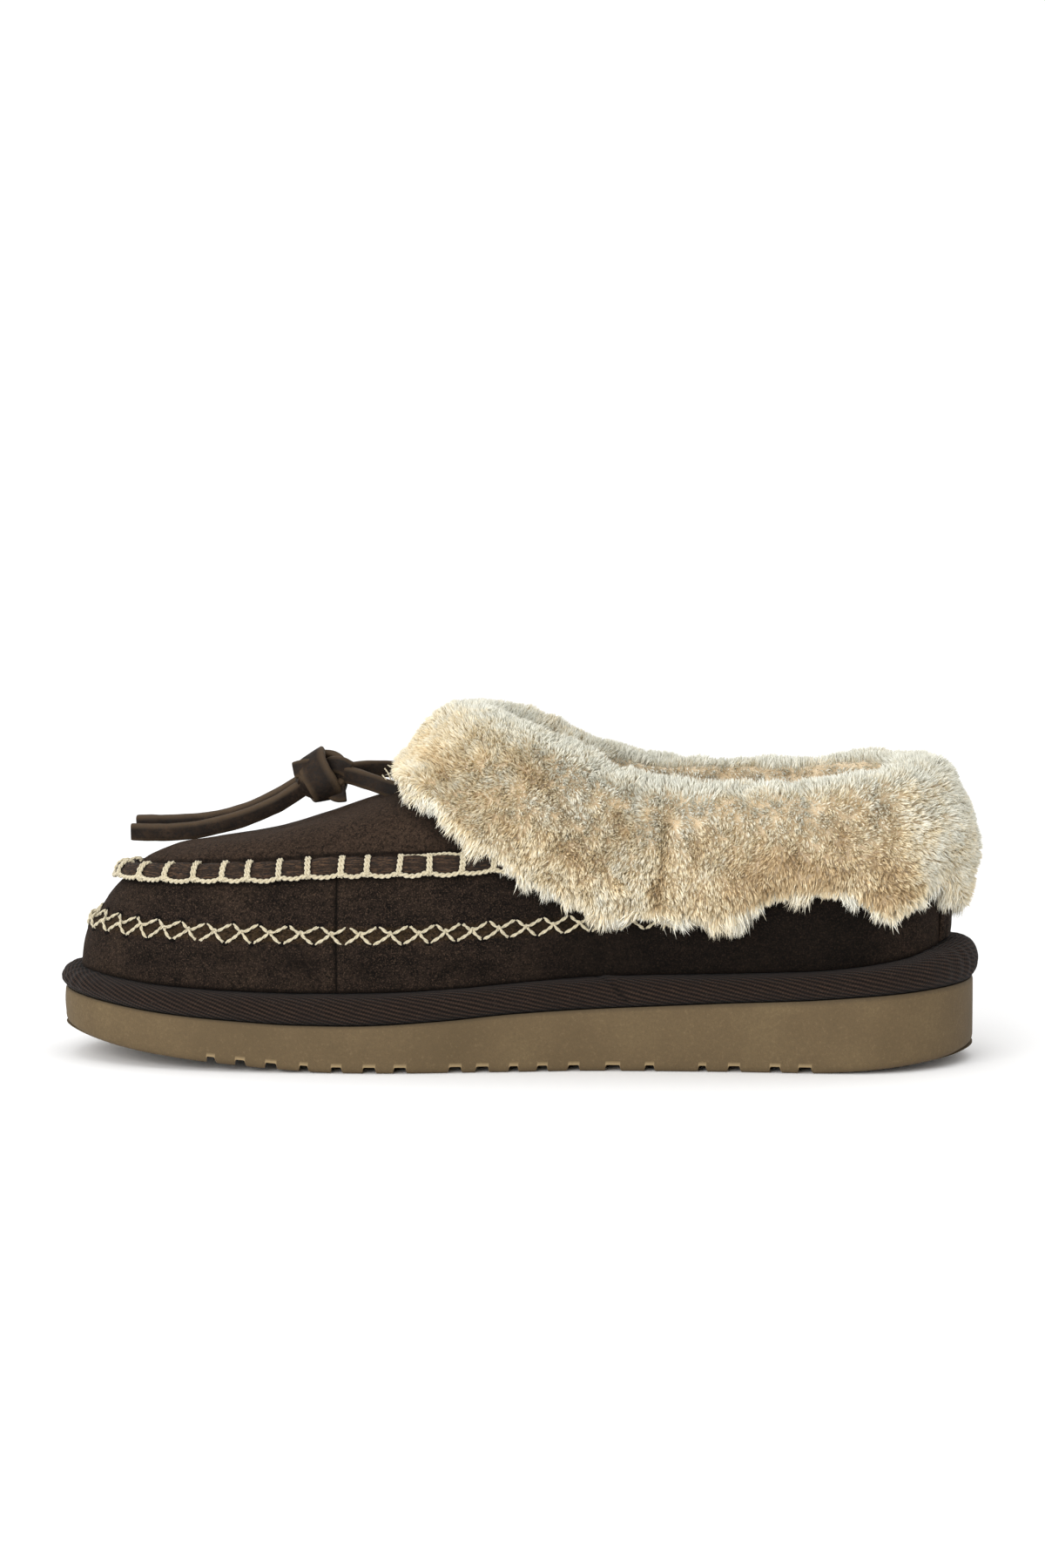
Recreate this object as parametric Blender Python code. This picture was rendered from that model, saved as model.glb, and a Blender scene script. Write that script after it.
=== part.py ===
"""Suede moccasin slipper with a turned-down sheepskin cuff, for the right foot.

Toe towards -X, heel towards +X, the inner (medial) side towards -Y, floor at z = 0.
All sizes below are in millimetres and are turned into metres where a mesh is made.

The shoe is worked out from closed level curves. Every curve has COLUMNS points. Point 0 is at the middle of
the heel, point COLUMNS / 2 is at the toe tip, and the points between run along the inner side first. The
sole outline, the upper's foot and the topline share these columns, so that a column climbs from the foot of
the wall, over the moccasin seam and the plug, to the edge of the foot opening.
"""

import math

import bpy
import numpy as np

MM = 0.001

# ---------------------------------------------------------------- driving sizes
SOLE_TOE_X = -134.3
SOLE_HEEL_X = 132.5
TOE_ROUND = 70.0  # length over which the sole outline closes at the toe
HEEL_ROUND = 40.0
TOE_POWER = 2.3
HEEL_POWER = 2.25
WALL = 6.0  # sheepskin wall: 1.5 of skin and the pressed pile inside
GAP = 0.3
COLUMNS = 64
HALF = COLUMNS // 2
CUFF_GAP = 0.6
CUFF_SEAM = 12.55  # column of the seam between the instep piece and the heel piece of the cuff
CUFF_SEAM_GAP = 0.05  # in columns, about 0.5 mm
ROLL_THICK = 3.4
ROLL_HIGH = 6.8
ROLL_MARGIN = 5.0  # the roll stops this far below the cuff's lower edge
STAY_COLUMNS = 2  # half width of the heel strip, in columns
STAY_THICK = 1.4
THONG = 4.4
GROOVE_DEPTH = 2.0
ORIGIN_X = -0.87
ORIGIN_Y = 4.50

# Sole outline: x, centre line, inner half width, outer half width.
SOLE_PLAN = [
    (-134.3, -6.0, 39.0, 46.0),
    (-115.0, -5.8, 40.0, 49.5),
    (-95.0, -5.0, 41.5, 53.0),
    (-65.0, -2.6, 44.0, 56.5),
    (-38.0, -1.0, 45.6, 56.6),
    (-5.0, 0.0, 41.5, 54.5),
    (28.0, 0.0, 36.6, 48.5),
    (60.0, 0.0, 36.2, 42.6),
    (90.0, 0.0, 37.6, 39.6),
    (112.0, 0.0, 38.0, 38.6),
    (132.5, 0.0, 38.0, 38.4),
]

# Heights along the shoe: x, underside of the sole, top edge of the sole, foot of the upper, footbed seat,
# cross-stitched seam, moccasin seam.
SIDE = [
    (-134.3, 9.6, 20.2, 26.9, 26.0, 40.5, 54.8),
    (-120.0, 6.2, 18.3, 25.3, 25.2, 40.1, 56.1),
    (-103.0, 3.9, 16.4, 23.8, 23.8, 39.8, 57.7),
    (-78.0, 1.7, 14.7, 22.9, 22.9, 39.6, 59.4),
    (-62.0, 0.5, 13.9, 22.6, 22.6, 39.5, 60.6),
    (-50.0, 0.0, 13.8, 22.7, 22.7, 39.4, 61.0),
    (-20.0, 0.0, 15.2, 23.6, 23.6, 40.2, 62.1),
    (0.0, 0.0, 17.0, 25.3, 25.3, 41.3, 63.2),
    (25.0, 0.0, 18.3, 27.0, 27.0, 42.8, 64.0),
    (60.0, 0.0, 20.0, 28.0, 28.0, 45.0, 64.6),
    (85.0, 0.0, 21.2, 28.9, 28.8, 46.8, 65.0),
    (100.0, 0.7, 22.3, 30.3, 29.4, 48.4, 65.6),
    (114.0, 1.9, 23.2, 32.4, 29.8, 49.8, 66.6),
    (126.0, 3.4, 24.0, 35.8, 30.2, 50.8, 67.4),
    (132.5, 4.6, 24.3, 36.6, 30.4, 51.0, 67.6),
]

# How much lower the moccasin seam runs on the outer side than on the inner side: x, drop.
OUTER_DROP = [
    (-134.0, 2.0),
    (-112.0, 4.2),
    (-90.0, 5.0),
    (-60.0, 4.8),
    (-20.0, 3.0),
    (30.0, 0.0),
]

# Topline of the skin, under the fur: x, inner half width, outer half width, height.
TOPLINE = [
    (-12.0, 22.0, 23.0, 87.4),
    (-4.0, 25.0, 26.0, 86.8),
    (4.0, 27.4, 28.4, 85.0),
    (15.0, 29.6, 30.6, 81.4),
    (28.0, 31.2, 32.2, 78.6),
    (42.0, 32.2, 33.0, 77.2),
    (60.0, 32.8, 33.4, 76.6),
    (80.0, 33.0, 33.4, 77.2),
    (98.0, 32.4, 32.8, 79.8),
    (115.5, 30.5, 31.0, 82.4),
]
TOP_FRONT_ROUND = 24.0
TOP_HEEL_ROUND = 33.0

# How columns fan from the sole to the topline: angle on the sole outline, angle on the topline, in degrees.
FAN = [
    (0, 0.0),
    (15, 17.5),
    (30, 36.0),
    (45, 57.5),
    (60, 80.5),
    (75, 104.5),
    (90, 124.0),
    (105, 140.0),
    (120, 152.5),
    (140, 165.5),
    (160, 173.5),
    (180, 180.0),
]

# Width of the ledge between the sole outline and the foot of the upper: angle, ledge.
LEDGE = [(0, 8.4), (25, 7.4), (50, 6.0), (110, 5.0), (150, 4.8), (180, 4.6)]

# Wall rows: name, zone, height in that zone, then inset at the toe and at the ball in millimetres, inset at the
# heel as a share of the way to the topline, and outward bulge at the ball and at the heel in millimetres.
# Zones: foot to stitched seam (share), at the stitched seam (mm), from there to the moccasin seam (share), at
# the moccasin seam (mm).
WALL_ROWS = [
    ("foot", "low", 0.00, 0.0, 0.0, 0.00, 0.0, 0.0),
    ("wall_low", "low", 0.38, 0.5, 0.0, 0.05, 0.9, 0.8),
    ("wall_mid", "low", 0.74, 1.8, 0.1, 0.12, 1.6, 1.4),
    ("band_edge", "stitch", -0.4, 2.9, 0.3, 0.20, 1.8, 1.5),
    ("band_step", "stitch", 1.5, 5.0, 1.6, 0.26, 1.2, 1.5),
    ("wall_high", "mid", 0.45, 8.2, 3.4, 0.36, 0.9, 1.5),
    ("seam_low", "ridge", -3.6, 11.8, 6.0, 0.46, 0.5, 1.4),
    ("seam", "ridge", 0.0, 15.8, 8.4, 0.54, 0.2, 1.3),
    ("plug_edge", "ridge", 3.0, 18.8, 10.8, 0.60, 0.0, 1.2),
]

# Plug rows, from the moccasin seam to the topline: name, share of the way, share of the height at the toe, at
# the ball and at the heel, outward bulge at the heel.
PLUG_ROWS = [
    ("shoulder", 0.050, 0.165, 0.180, 0.20, 1.1),
    ("plug_1", 0.100, 0.220, 0.255, 0.28, 1.0),
    ("plug_2", 0.190, 0.268, 0.350, 0.37, 0.8),
    ("plug_3", 0.320, 0.338, 0.470, 0.48, 0.6),
    ("plug_4", 0.490, 0.455, 0.605, 0.61, 0.4),
    ("plug_5", 0.660, 0.620, 0.735, 0.75, 0.2),
    ("plug_6", 0.830, 0.800, 0.865, 0.88, 0.1),
    ("topline", 1.000, 1.000, 1.000, 1.00, 0.0),
]
INNER_ROWS = (0, 1, 2, 4, 6, 8, 10, 11, 12, 13, 14, 15, 16)

# The cuff: angle on the sole outline, width down from the topline, thickness, height of the fold.
CUFF = [
    (0, 40.4, 11.8, 6.4),
    (8, 38.0, 11.9, 6.4),
    (15, 30.6, 12.0, 6.5),
    (22.5, 33.2, 12.1, 6.6),
    (28, 35.6, 12.2, 6.8),
    (33, 37.4, 12.4, 7.0),
    (39.4, 30.5, 12.4, 7.2),
    (45, 27.0, 12.4, 7.4),
    (51, 25.4, 12.4, 7.6),
    (57, 30.4, 12.4, 7.8),
    (62, 33.2, 12.6, 8.0),
    (73, 33.4, 12.8, 8.2),
    (79, 35.0, 13.0, 8.6),
    (84.4, 32.0, 13.2, 9.0),
    (96, 28.8, 13.8, 9.8),
    (107, 28.6, 14.6, 10.4),
    (124, 28.4, 16.0, 10.8),
    (140, 27.0, 16.9, 10.8),
    (180, 25.6, 17.2, 10.8),
]
# Fur surface between the cuff's lower edge and the topline: share of the width, share of the thickness at the
# heel, and the same pair at the instep.
CUFF_PROFILE = [
    (0.00, 0.46, 0.00, 0.46),
    (0.16, 0.84, 0.20, 0.63),
    (0.42, 1.00, 0.42, 0.86),
    (0.72, 1.00, 0.72, 1.03),
    (1.00, 0.90, 1.00, 1.00),
]

# Tread grooves: x of the groove at the middle of the sole, width.
GROOVES = [
    (-87.0, 2.8),
    (-78.5, 3.2),
    (-69.5, 3.6),
    (-60.0, 2.8),
    (-50.5, 3.4),
    (-41.0, 4.0),
    (-32.0, 4.0),
    (-16.0, 4.0),
    (-8.0, 4.0),
    (1.0, 3.0),
    (9.5, 3.4),
    (18.5, 3.6),
    (30.0, 4.6),
    (40.5, 3.0),
    (56.0, 2.6),
    (65.0, 3.8),
    (77.0, 3.4),
    (85.5, 4.2),
]

# Lace ends: x, y, z along each thong, from the knot to the cut tip.
END_NEAR = [
    (-67.4, -2.8, 76.4),
    (-73.0, -3.0, 73.0),
    (-82.0, -3.2, 69.2),
    (-92.3, -3.4, 66.4),
    (-102.5, -3.6, 65.0),
    (-115.4, -3.6, 64.8),
]
END_FAR = [
    (-67.4, 2.2, 78.6),
    (-73.0, 2.0, 75.4),
    (-82.0, 1.8, 71.4),
    (-92.3, 1.7, 68.4),
    (-102.5, 1.6, 67.2),
    (-114.2, 1.6, 67.0),
]
BIGHT_NEAR = [(-50.4, -3.0, 83.2), (-46.0, -5.6, 82.0), (-41.2, -8.4, 80.8)]
BIGHT_FAR = [(-50.4, 3.0, 83.6), (-46.0, 5.8, 83.6), (-41.4, 8.8, 82.8)]
KNOT_CENTRE = (-58.9, 0.0, 81.2)
KNOT_SIZE = (14.6, 12.6, 13.4)


# ---------------------------------------------------------------- curves from tables
def smooth(table, column, x):
    """Monotone cubic through the rows of a table, against its first column."""
    xs = np.array([r[0] for r in table], float)
    ys = np.array([r[column] for r in table], float)
    h = np.diff(xs)
    d = np.diff(ys) / h
    m = np.zeros(len(xs))
    m[0], m[-1] = d[0], d[-1]
    for k in range(1, len(xs) - 1):
        if d[k - 1] * d[k] > 0:
            a, b = 2 * h[k] + h[k - 1], h[k] + 2 * h[k - 1]
            m[k] = (a + b) / (a / d[k - 1] + b / d[k])
    x = np.clip(np.asarray(x, float), xs[0], xs[-1])
    k = np.clip(np.searchsorted(xs, x) - 1, 0, len(h) - 1)
    t = (x - xs[k]) / h[k]
    return (
        (2 * t**3 - 3 * t**2 + 1) * ys[k]
        + (t**3 - 2 * t**2 + t) * h[k] * m[k]
        + (3 * t**2 - 2 * t**3) * ys[k + 1]
        + (t**3 - t**2) * h[k] * m[k + 1]
    )


def ease(a, b, x):
    t = np.clip((np.asarray(x, float) - a) / (b - a), 0, 1)
    return t * t * (3 - 2 * t)


def rounding(distance, length, power):
    u = np.clip(1 - np.asarray(distance, float) / length, 0, 1)
    return (1 - u**power) ** (1 / power)


def angles():
    """(angle round the curve in degrees, folded to 0 at the heel and 180 at the toe; side, -1 inner and +1 outer)."""
    a = np.arange(COLUMNS) * 360.0 / COLUMNS
    return np.where(a > 180, 360 - a, a), np.where(a > 180, 1.0, -1.0)


FOLDED, SIGN = angles()


def sole_outline():
    x = (SOLE_TOE_X + SOLE_HEEL_X) / 2 + (SOLE_HEEL_X - SOLE_TOE_X) / 2 * np.cos(
        np.radians(FOLDED)
    )
    close = rounding(x - SOLE_TOE_X, TOE_ROUND, TOE_POWER) * rounding(
        SOLE_HEEL_X - x, HEEL_ROUND, HEEL_POWER
    )
    half = np.where(SIGN < 0, smooth(SOLE_PLAN, 2, x), smooth(SOLE_PLAN, 3, x))
    return np.stack([x, smooth(SOLE_PLAN, 1, x) + SIGN * half * close], 1)


def outward(curve):
    """Unit normals of a closed plan curve, pointing away from its middle."""
    t = np.roll(curve, -1, 0) - np.roll(curve, 1, 0)
    n = np.stack([t[:, 1], -t[:, 0]], 1)
    n /= np.linalg.norm(n, axis=1)[:, None]
    return n if ((curve - curve.mean(0)) * n).sum() > 0 else -n


def topline():
    psi = smooth(FAN, 1, FOLDED)
    x0, x1 = TOPLINE[0][0], TOPLINE[-1][0]
    x = (x0 + x1) / 2 + (x1 - x0) / 2 * np.cos(np.radians(psi))
    close = rounding(x - x0, TOP_FRONT_ROUND, 2.1) * rounding(
        x1 - x, TOP_HEEL_ROUND, 2.2
    )
    half = np.where(SIGN < 0, smooth(TOPLINE, 1, x), smooth(TOPLINE, 2, x))
    return np.stack([x, SIGN * half * close, smooth(TOPLINE, 3, x)], 1)


SOLE = sole_outline()
SOLE_OUT = outward(SOLE)
FOOT = SOLE - SOLE_OUT * smooth(LEDGE, 1, FOLDED)[:, None]
TOP = topline()


def side(column, x):
    return smooth(SIDE, column, x)


def upper_grid():
    """Outer face of the upper, as points[column, row]."""
    path = TOP[:, :2] - FOOT
    length = np.linalg.norm(path, axis=1)
    along = path / length[:, None]
    toe = ease(112, 166, FOLDED)
    heel = 1 - ease(62, 97, FOLDED)
    ball = 1 - toe - heel
    foot, stitch, ridge = (side(c, FOOT[:, 0]) for c in (3, 5, 6))
    foot = foot + GAP
    outer = np.clip(FOOT[:, 1] / 30.0 + 0.5, 0, 1)
    ridge = ridge - smooth(OUTER_DROP, 1, FOOT[:, 0]) * outer
    rows = []
    for _, zone, r, in_toe, in_ball, in_heel, out_ball, out_heel in WALL_ROWS:
        z = {
            "low": foot + (stitch - foot) * r,
            "stitch": stitch + r,
            "mid": stitch + (ridge - stitch) * r,
            "ridge": ridge + r,
        }[zone]
        inset = toe * in_toe + ball * in_ball + heel * in_heel * length
        bulge = ball * out_ball + heel * out_heel
        xy = FOOT + along * inset[:, None] + SOLE_OUT * bulge[:, None]
        rows.append(np.column_stack([xy, z]))
    edge_inset, edge_z = inset, z
    for _, share, z_toe, z_ball, z_heel, out_heel in PLUG_ROWS:
        # The heights are shares of the way from the seam; the first 3 mm are the plug's edge.
        rise = toe * z_toe + ball * z_ball + heel * z_heel
        z = np.maximum(ridge + (TOP[:, 2] - ridge) * rise, edge_z + 0.4)
        inset = edge_inset + (length - edge_inset) * share
        xy = FOOT + along * inset[:, None] + SOLE_OUT * (heel * out_heel)[:, None]
        rows.append(np.column_stack([xy, z]))
    return np.stack(rows, 1)


def normals(grid):
    du = np.roll(grid, -1, 0) - np.roll(grid, 1, 0)
    dv = np.empty_like(grid)
    dv[:, 1:-1] = grid[:, 2:] - grid[:, :-2]
    dv[:, 0] = grid[:, 1] - grid[:, 0]
    dv[:, -1] = grid[:, -1] - grid[:, -2]
    n = np.cross(du, dv)
    n /= np.linalg.norm(n, axis=2)[:, :, None]
    away = grid - np.array([0.0, 0.0, 30.0]) * 1.0
    away[:, :, 0] = 0
    if (n * away).sum() < 0:
        n = -n
    return n


def eased(grid, rounds=2):
    """The grid with small steps smoothed away along each column, for the inner face."""
    g = grid.copy()
    for _ in range(rounds):
        g[:, 1:-1] = 0.25 * g[:, :-2] + 0.5 * g[:, 1:-1] + 0.25 * g[:, 2:]
    return g


UPPER = upper_grid()
NORMAL = normals(UPPER)
ROW = {r[0]: k for k, r in enumerate(WALL_ROWS + PLUG_ROWS)}


# ---------------------------------------------------------------- meshes
def material(name, colour, rough, metal=0.0):
    m = bpy.data.materials.new(name)
    m.use_nodes = True
    b = m.node_tree.nodes["Principled BSDF"]
    b.inputs["Base Color"].default_value = (*colour, 1)
    b.inputs["Roughness"].default_value = rough
    b.inputs["Metallic"].default_value = metal
    m.diffuse_color = (*colour, 1)
    return m


def volume(points, faces):
    total = 0.0
    for f in faces:
        for k in range(1, len(f) - 1):
            a, b, c = points[f[0]], points[f[k]], points[f[k + 1]]
            total += float(np.dot(a, np.cross(b, c)))
    return total / 6


def solid(name, points, faces, look, smooth_angle=40):
    points = np.asarray(points, float)
    if volume(points, faces) < 0:
        faces = [tuple(reversed(f)) for f in faces]
    mesh = bpy.data.meshes.new(name)
    mesh.from_pydata(
        [
            ((x - ORIGIN_X) * MM, (y - ORIGIN_Y) * MM, z * MM)
            for x, y, z in points.tolist()
        ],
        [],
        faces,
    )
    mesh.validate()
    mesh.materials.append(look)
    mesh.shade_smooth()
    mesh.set_sharp_from_angle(angle=math.radians(smooth_angle))
    obj = bpy.data.objects.new(name, mesh)
    bpy.context.scene.collection.objects.link(obj)
    return obj


def ring_faces(rings, count, closed_across=False):
    """Quads between successive rings of count points each."""
    faces = []
    last = rings if closed_across else rings - 1
    for r in range(last):
        s = (r + 1) % rings
        for i in range(count):
            j = (i + 1) % count
            faces.append((r * count + i, r * count + j, s * count + j, s * count + i))
    return faces


def across(ring, flip):
    """Faces that close a shoe-shaped ring straight across from the inner to the outer side."""
    base, faces = ring * COLUMNS, []
    for i in range(HALF):
        j, k = (COLUMNS - i - 1) % COLUMNS, (COLUMNS - i) % COLUMNS
        f = [base + i, base + i + 1, base + j, base + k]
        f = list(dict.fromkeys(f))
        faces.append(tuple(reversed(f)) if flip else tuple(f))
    return faces


def slab(name, rings, look, smooth_angle=40):
    """A solid from shoe-shaped rings, lowest first, closed across its underside and its top."""
    points = np.concatenate(rings)
    faces = (
        ring_faces(len(rings), COLUMNS)
        + across(0, True)
        + across(len(rings) - 1, False)
    )
    return solid(name, points, faces, look, smooth_angle)


def level(outline, inset, z):
    xy = outline - outward(outline) * np.asarray(inset, float).reshape(-1, 1)
    return np.column_stack([xy, np.broadcast_to(z, len(xy))])


# ---------------------------------------------------------------- the pieces
def make_outsole(look):
    """Wedge sole with toe spring, a lifted heel edge and a chevron tread open at both edges."""
    x = SOLE[:, 0]
    low, high = side(1, x), side(2, x)
    rings = [
        level(SOLE, 2.2, low),
        level(SOLE, 0.7, low + 0.9),
        level(SOLE, 0.0, low + 2.8),
        level(SOLE, 0.0, high),
    ]
    body = slab("outsole", rings, look, 35)
    for k, (gx, width) in enumerate(GROOVES):
        cut_groove(body, k, gx, width)
    return body


def cut_groove(body, k, gx, width):
    """A chevron groove across the whole sole, as deep as GROOVE_DEPTH from the underside."""
    ys = [-64.0, -34.0, -12.0, 12.0, 34.0, 64.0]
    swing = [1.6, -1.6, 1.6, -1.6, 1.6, -1.6]
    if k % 2:
        swing = [0.8 * s for s in swing]
    centre = [(gx + s, y) for s, y in zip(swing, ys)]
    points, faces = [], []
    for cx, cy in centre:
        for dx in (-width / 2, width / 2):
            top = float(side(1, cx + dx)) + GROOVE_DEPTH
            taper = -0.35 if dx < 0 else 0.35
            points += [(cx + dx + taper, cy, -4.0), (cx + dx, cy, top)]
    for s in range(len(centre) - 1):
        a, b = s * 4, s * 4 + 4
        faces += [
            (a, a + 1, b + 1, b),
            (a + 2, b + 2, b + 3, a + 3),
            (a + 1, a + 3, b + 3, b + 1),
            (a, b, b + 2, a + 2),
        ]
    faces += [(0, 2, 3, 1)]
    e = (len(centre) - 1) * 4
    faces += [(e, e + 1, e + 3, e + 2)]
    cutter = solid(f"groove_{k:02d}", points, faces, body.data.materials[0])
    cutter.hide_render = True
    cutter.display_type = "WIRE"
    cut = body.modifiers.new(f"groove_{k:02d}", "BOOLEAN")
    cut.operation = "DIFFERENCE"
    cut.solver = "EXACT"
    cut.object = cutter


def make_midsole(look):
    """Footbed board with its tape-wrapped rounded edge, wider than the sole below it."""
    xs, xf = SOLE[:, 0], FOOT[:, 0]
    low = side(2, xs) + GAP
    foot = side(3, xf)
    high = foot - low
    rings = [
        level(SOLE, 1.2, low),
        level(SOLE, -0.5, low + 0.10 * high + 0.3),
        level(SOLE, -1.25, low + 0.34 * high),
        level(SOLE, -0.9, low + 0.62 * high),
        level(SOLE, 0.9, low + 0.88 * high),
        level(FOOT, -1.2, foot - 0.1),
        level(FOOT, WALL + 0.6, foot),
        level(FOOT, WALL + 4.4, side(4, xf)),
    ]
    return slab("midsole", rings, look, 50)


def make_insole(look):
    xf = FOOT[:, 0]
    foot, seat = side(3, xf), side(4, xf)
    rings = [
        level(FOOT, WALL + 4.9, seat + GAP),
        level(FOOT, WALL + 1.4, foot + 1.2),
        level(FOOT, WALL + 1.4, foot + 3.4),
        level(FOOT, WALL + 2.9, foot + 5.6),
        level(FOOT, WALL + 9.0, seat + 6.4),
    ]
    return slab("insole", rings, look, 50)


def inner_grid():
    g = eased(UPPER)
    n = normals(g)
    inner = g - n * WALL
    flat = n[:, 0].copy()
    flat[:, 2] = 0
    flat /= np.linalg.norm(flat, axis=1)[:, None]
    inner[:, 0] = UPPER[:, 0] - flat * WALL
    inner[:, 0, 2] = UPPER[:, 0, 2]
    return inner[:, list(INNER_ROWS)]


INNER = inner_grid()


def make_upper(look):
    rows = [UPPER[:, k] for k in range(UPPER.shape[1])]
    rows += [INNER[:, k] for k in reversed(range(INNER.shape[1]))]
    points = np.concatenate(rows)
    return solid(
        "upper", points, ring_faces(len(rows), COLUMNS, closed_across=True), look, 60
    )


def column_reader(i):
    """Reads column i of the upper by distance down from the topline: (point, normal)."""
    p, n = UPPER[i, ::-1], NORMAL[i, ::-1]
    s = np.concatenate([[0], np.cumsum(np.linalg.norm(np.diff(p, axis=0), axis=1))])

    def read(d):
        q = np.array([np.interp(d, s, p[:, k]) for k in range(3)])
        m = np.array([np.interp(d, s, n[:, k]) for k in range(3)])
        return q, m / np.linalg.norm(m)

    return read, s


def cuff_section(i):
    """(contact side from the lower edge over the rim to the lining, fur side in the same order) of column i."""
    read, _ = column_reader(i)
    width, thick, fold = (float(smooth(CUFF, c, FOLDED[i])) for c in (1, 2, 3))
    top, n = read(0.0)
    below, _ = read(3.0)
    up = top - below
    up /= np.linalg.norm(up)
    n = n - up * float(n @ up)
    n /= np.linalg.norm(n)
    inner_top = INNER[i, -1]
    depth = [width * (1 - share) for share in (0.0, 0.18, 0.36, 0.54, 0.72, 0.88, 1.0)]
    on_skin = [read(d) for d in depth]
    clear = np.full(len(depth), CUFF_GAP)
    for k in range(len(depth) - 1):
        # Where the skin bulges between two points, both stand further off it.
        for d in np.linspace(depth[k], depth[k + 1], 7)[1:-1]:
            t = (depth[k] - d) / (depth[k] - depth[k + 1])
            chord = on_skin[k][0] * (1 - t) + on_skin[k + 1][0] * t
            bulge = float((read(d)[0] - chord) @ on_skin[k][1])
            clear[k : k + 2] = np.maximum(clear[k : k + 2], CUFF_GAP + bulge)
    clear[0] += 0.3
    contact = [q + m * c for (q, m), c in zip(on_skin, clear)]
    contact.append(top + up * CUFF_GAP + n * CUFF_GAP)
    contact.append(inner_top + up * CUFF_GAP)
    fur = []
    q, m = read(width + 1.4)
    fur.append(q + m * (CUFF_PROFILE[0][1] * thick))
    front = float(ease(60, 120, FOLDED[i]))
    for share_h, part_h, share_t, part_t in CUFF_PROFILE[1:]:
        q, m = read(width * (1 - share_h + (share_h - share_t) * front))
        fur.append(q + m * (thick * (part_h + (part_t - part_h) * front)))
    middle = (top + inner_top) / 2
    crest = CUFF_PROFILE[-1][1] + (CUFF_PROFILE[-1][3] - CUFF_PROFILE[-1][1]) * front
    reach = float((top + n * (thick * crest) - middle) @ n)
    back = WALL / 2 + 1.2
    for turn in (38, 76, 114, 150):
        c, s = math.cos(math.radians(turn)), math.sin(math.radians(turn))
        fur.append(middle + n * ((reach if c > 0 else back) * c) + up * (fold * s))
    return np.array(contact), np.array(fur)


def cuff_between(at):
    """The cuff's section at a fractional column."""
    i = math.floor(at)
    share = at - i
    if share < 1e-6:
        return cuff_section(i % COLUMNS)
    low, high = cuff_section(i % COLUMNS), cuff_section((i + 1) % COLUMNS)
    return tuple(p * (1 - share) + q * share for p, q in zip(low, high))


def make_cuff(name, columns, look):
    """Folded sheepskin band over the given columns, closed at both seams."""
    sections = [cuff_between(at) for at in columns]
    loops = [np.concatenate([a, b[::-1]]) for a, b in sections]
    m = len(loops[0])
    points = np.concatenate(loops)
    faces = []
    for r in range(len(loops) - 1):
        for k in range(m):
            j = (k + 1) % m
            faces.append((r * m + k, r * m + j, (r + 1) * m + j, (r + 1) * m + k))
    for base, flip in ((0, True), ((len(loops) - 1) * m, False)):
        for k in range(m // 2 - 1):
            f = (base + k, base + k + 1, base + m - 2 - k, base + m - 1 - k)
            faces.append(tuple(reversed(f)) if flip else f)
    return solid(name, points, faces, look, 60)


def roll_section(i):
    """(centre, outward, upward) of the moccasin seam's roll at column i."""
    seam, below = ROW["seam"], ROW["seam_low"]
    n = NORMAL[i, seam] * 0.35 + NORMAL[i, below] * 0.65
    n /= np.linalg.norm(n)
    t = UPPER[(i + 1) % COLUMNS, seam] - UPPER[i - 1, seam]
    t /= np.linalg.norm(t)
    v = np.cross(t, n)
    v = v if v[2] > 0 else -v
    q = UPPER[i, seam] * 0.55 + UPPER[i, below] * 0.45
    return q + n * (ROLL_THICK / 2 + GAP + 0.35), n, v


def cuff_clearance(i):
    """How far below the cuff's lower edge the moccasin seam runs at column i."""
    _, s = column_reader(i)
    return s[len(s) - 1 - ROW["seam"]] - float(smooth(CUFF, 1, FOLDED[i]))


def make_seam_roll(look):
    """Raised moccasin seam round the toe, from the cuff on the inner side to the cuff on the outer side."""
    clear = [cuff_clearance(i) for i in range(COLUMNS)]
    columns = [i for i in range(COLUMNS) if clear[i] > ROLL_MARGIN]
    stations = [roll_section(i) for i in columns]
    for end, i, j in ((0, columns[0], columns[0] - 1), (-1, columns[-1], columns[-1] + 1)):
        share = (clear[i] - ROLL_MARGIN) / (clear[i] - clear[j])
        if share < 0.15:
            continue
        part = [a + (b - a) * share for a, b in zip(roll_section(i), roll_section(j))]
        stations.insert(0 if end == 0 else len(stations), part)
    loops = [
        [
            c + n * (ROLL_THICK / 2 * math.cos(a)) + v * (ROLL_HIGH / 2 * math.sin(a))
            for a in np.radians(np.arange(0, 360, 45))
        ]
        for c, n, v in stations
    ]
    return tube("moc_seam_roll", loops, look)


def tube(name, loops, look, smooth_angle=60):
    m = len(loops[0])
    points = np.concatenate([np.array(x) for x in loops])
    faces = []
    for r in range(len(loops) - 1):
        for k in range(m):
            j = (k + 1) % m
            faces.append((r * m + k, r * m + j, (r + 1) * m + j, (r + 1) * m + k))
    faces.append(tuple(reversed(range(m))))
    faces.append(tuple((len(loops) - 1) * m + k for k in range(m)))
    return solid(name, points, faces, look, smooth_angle)


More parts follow.
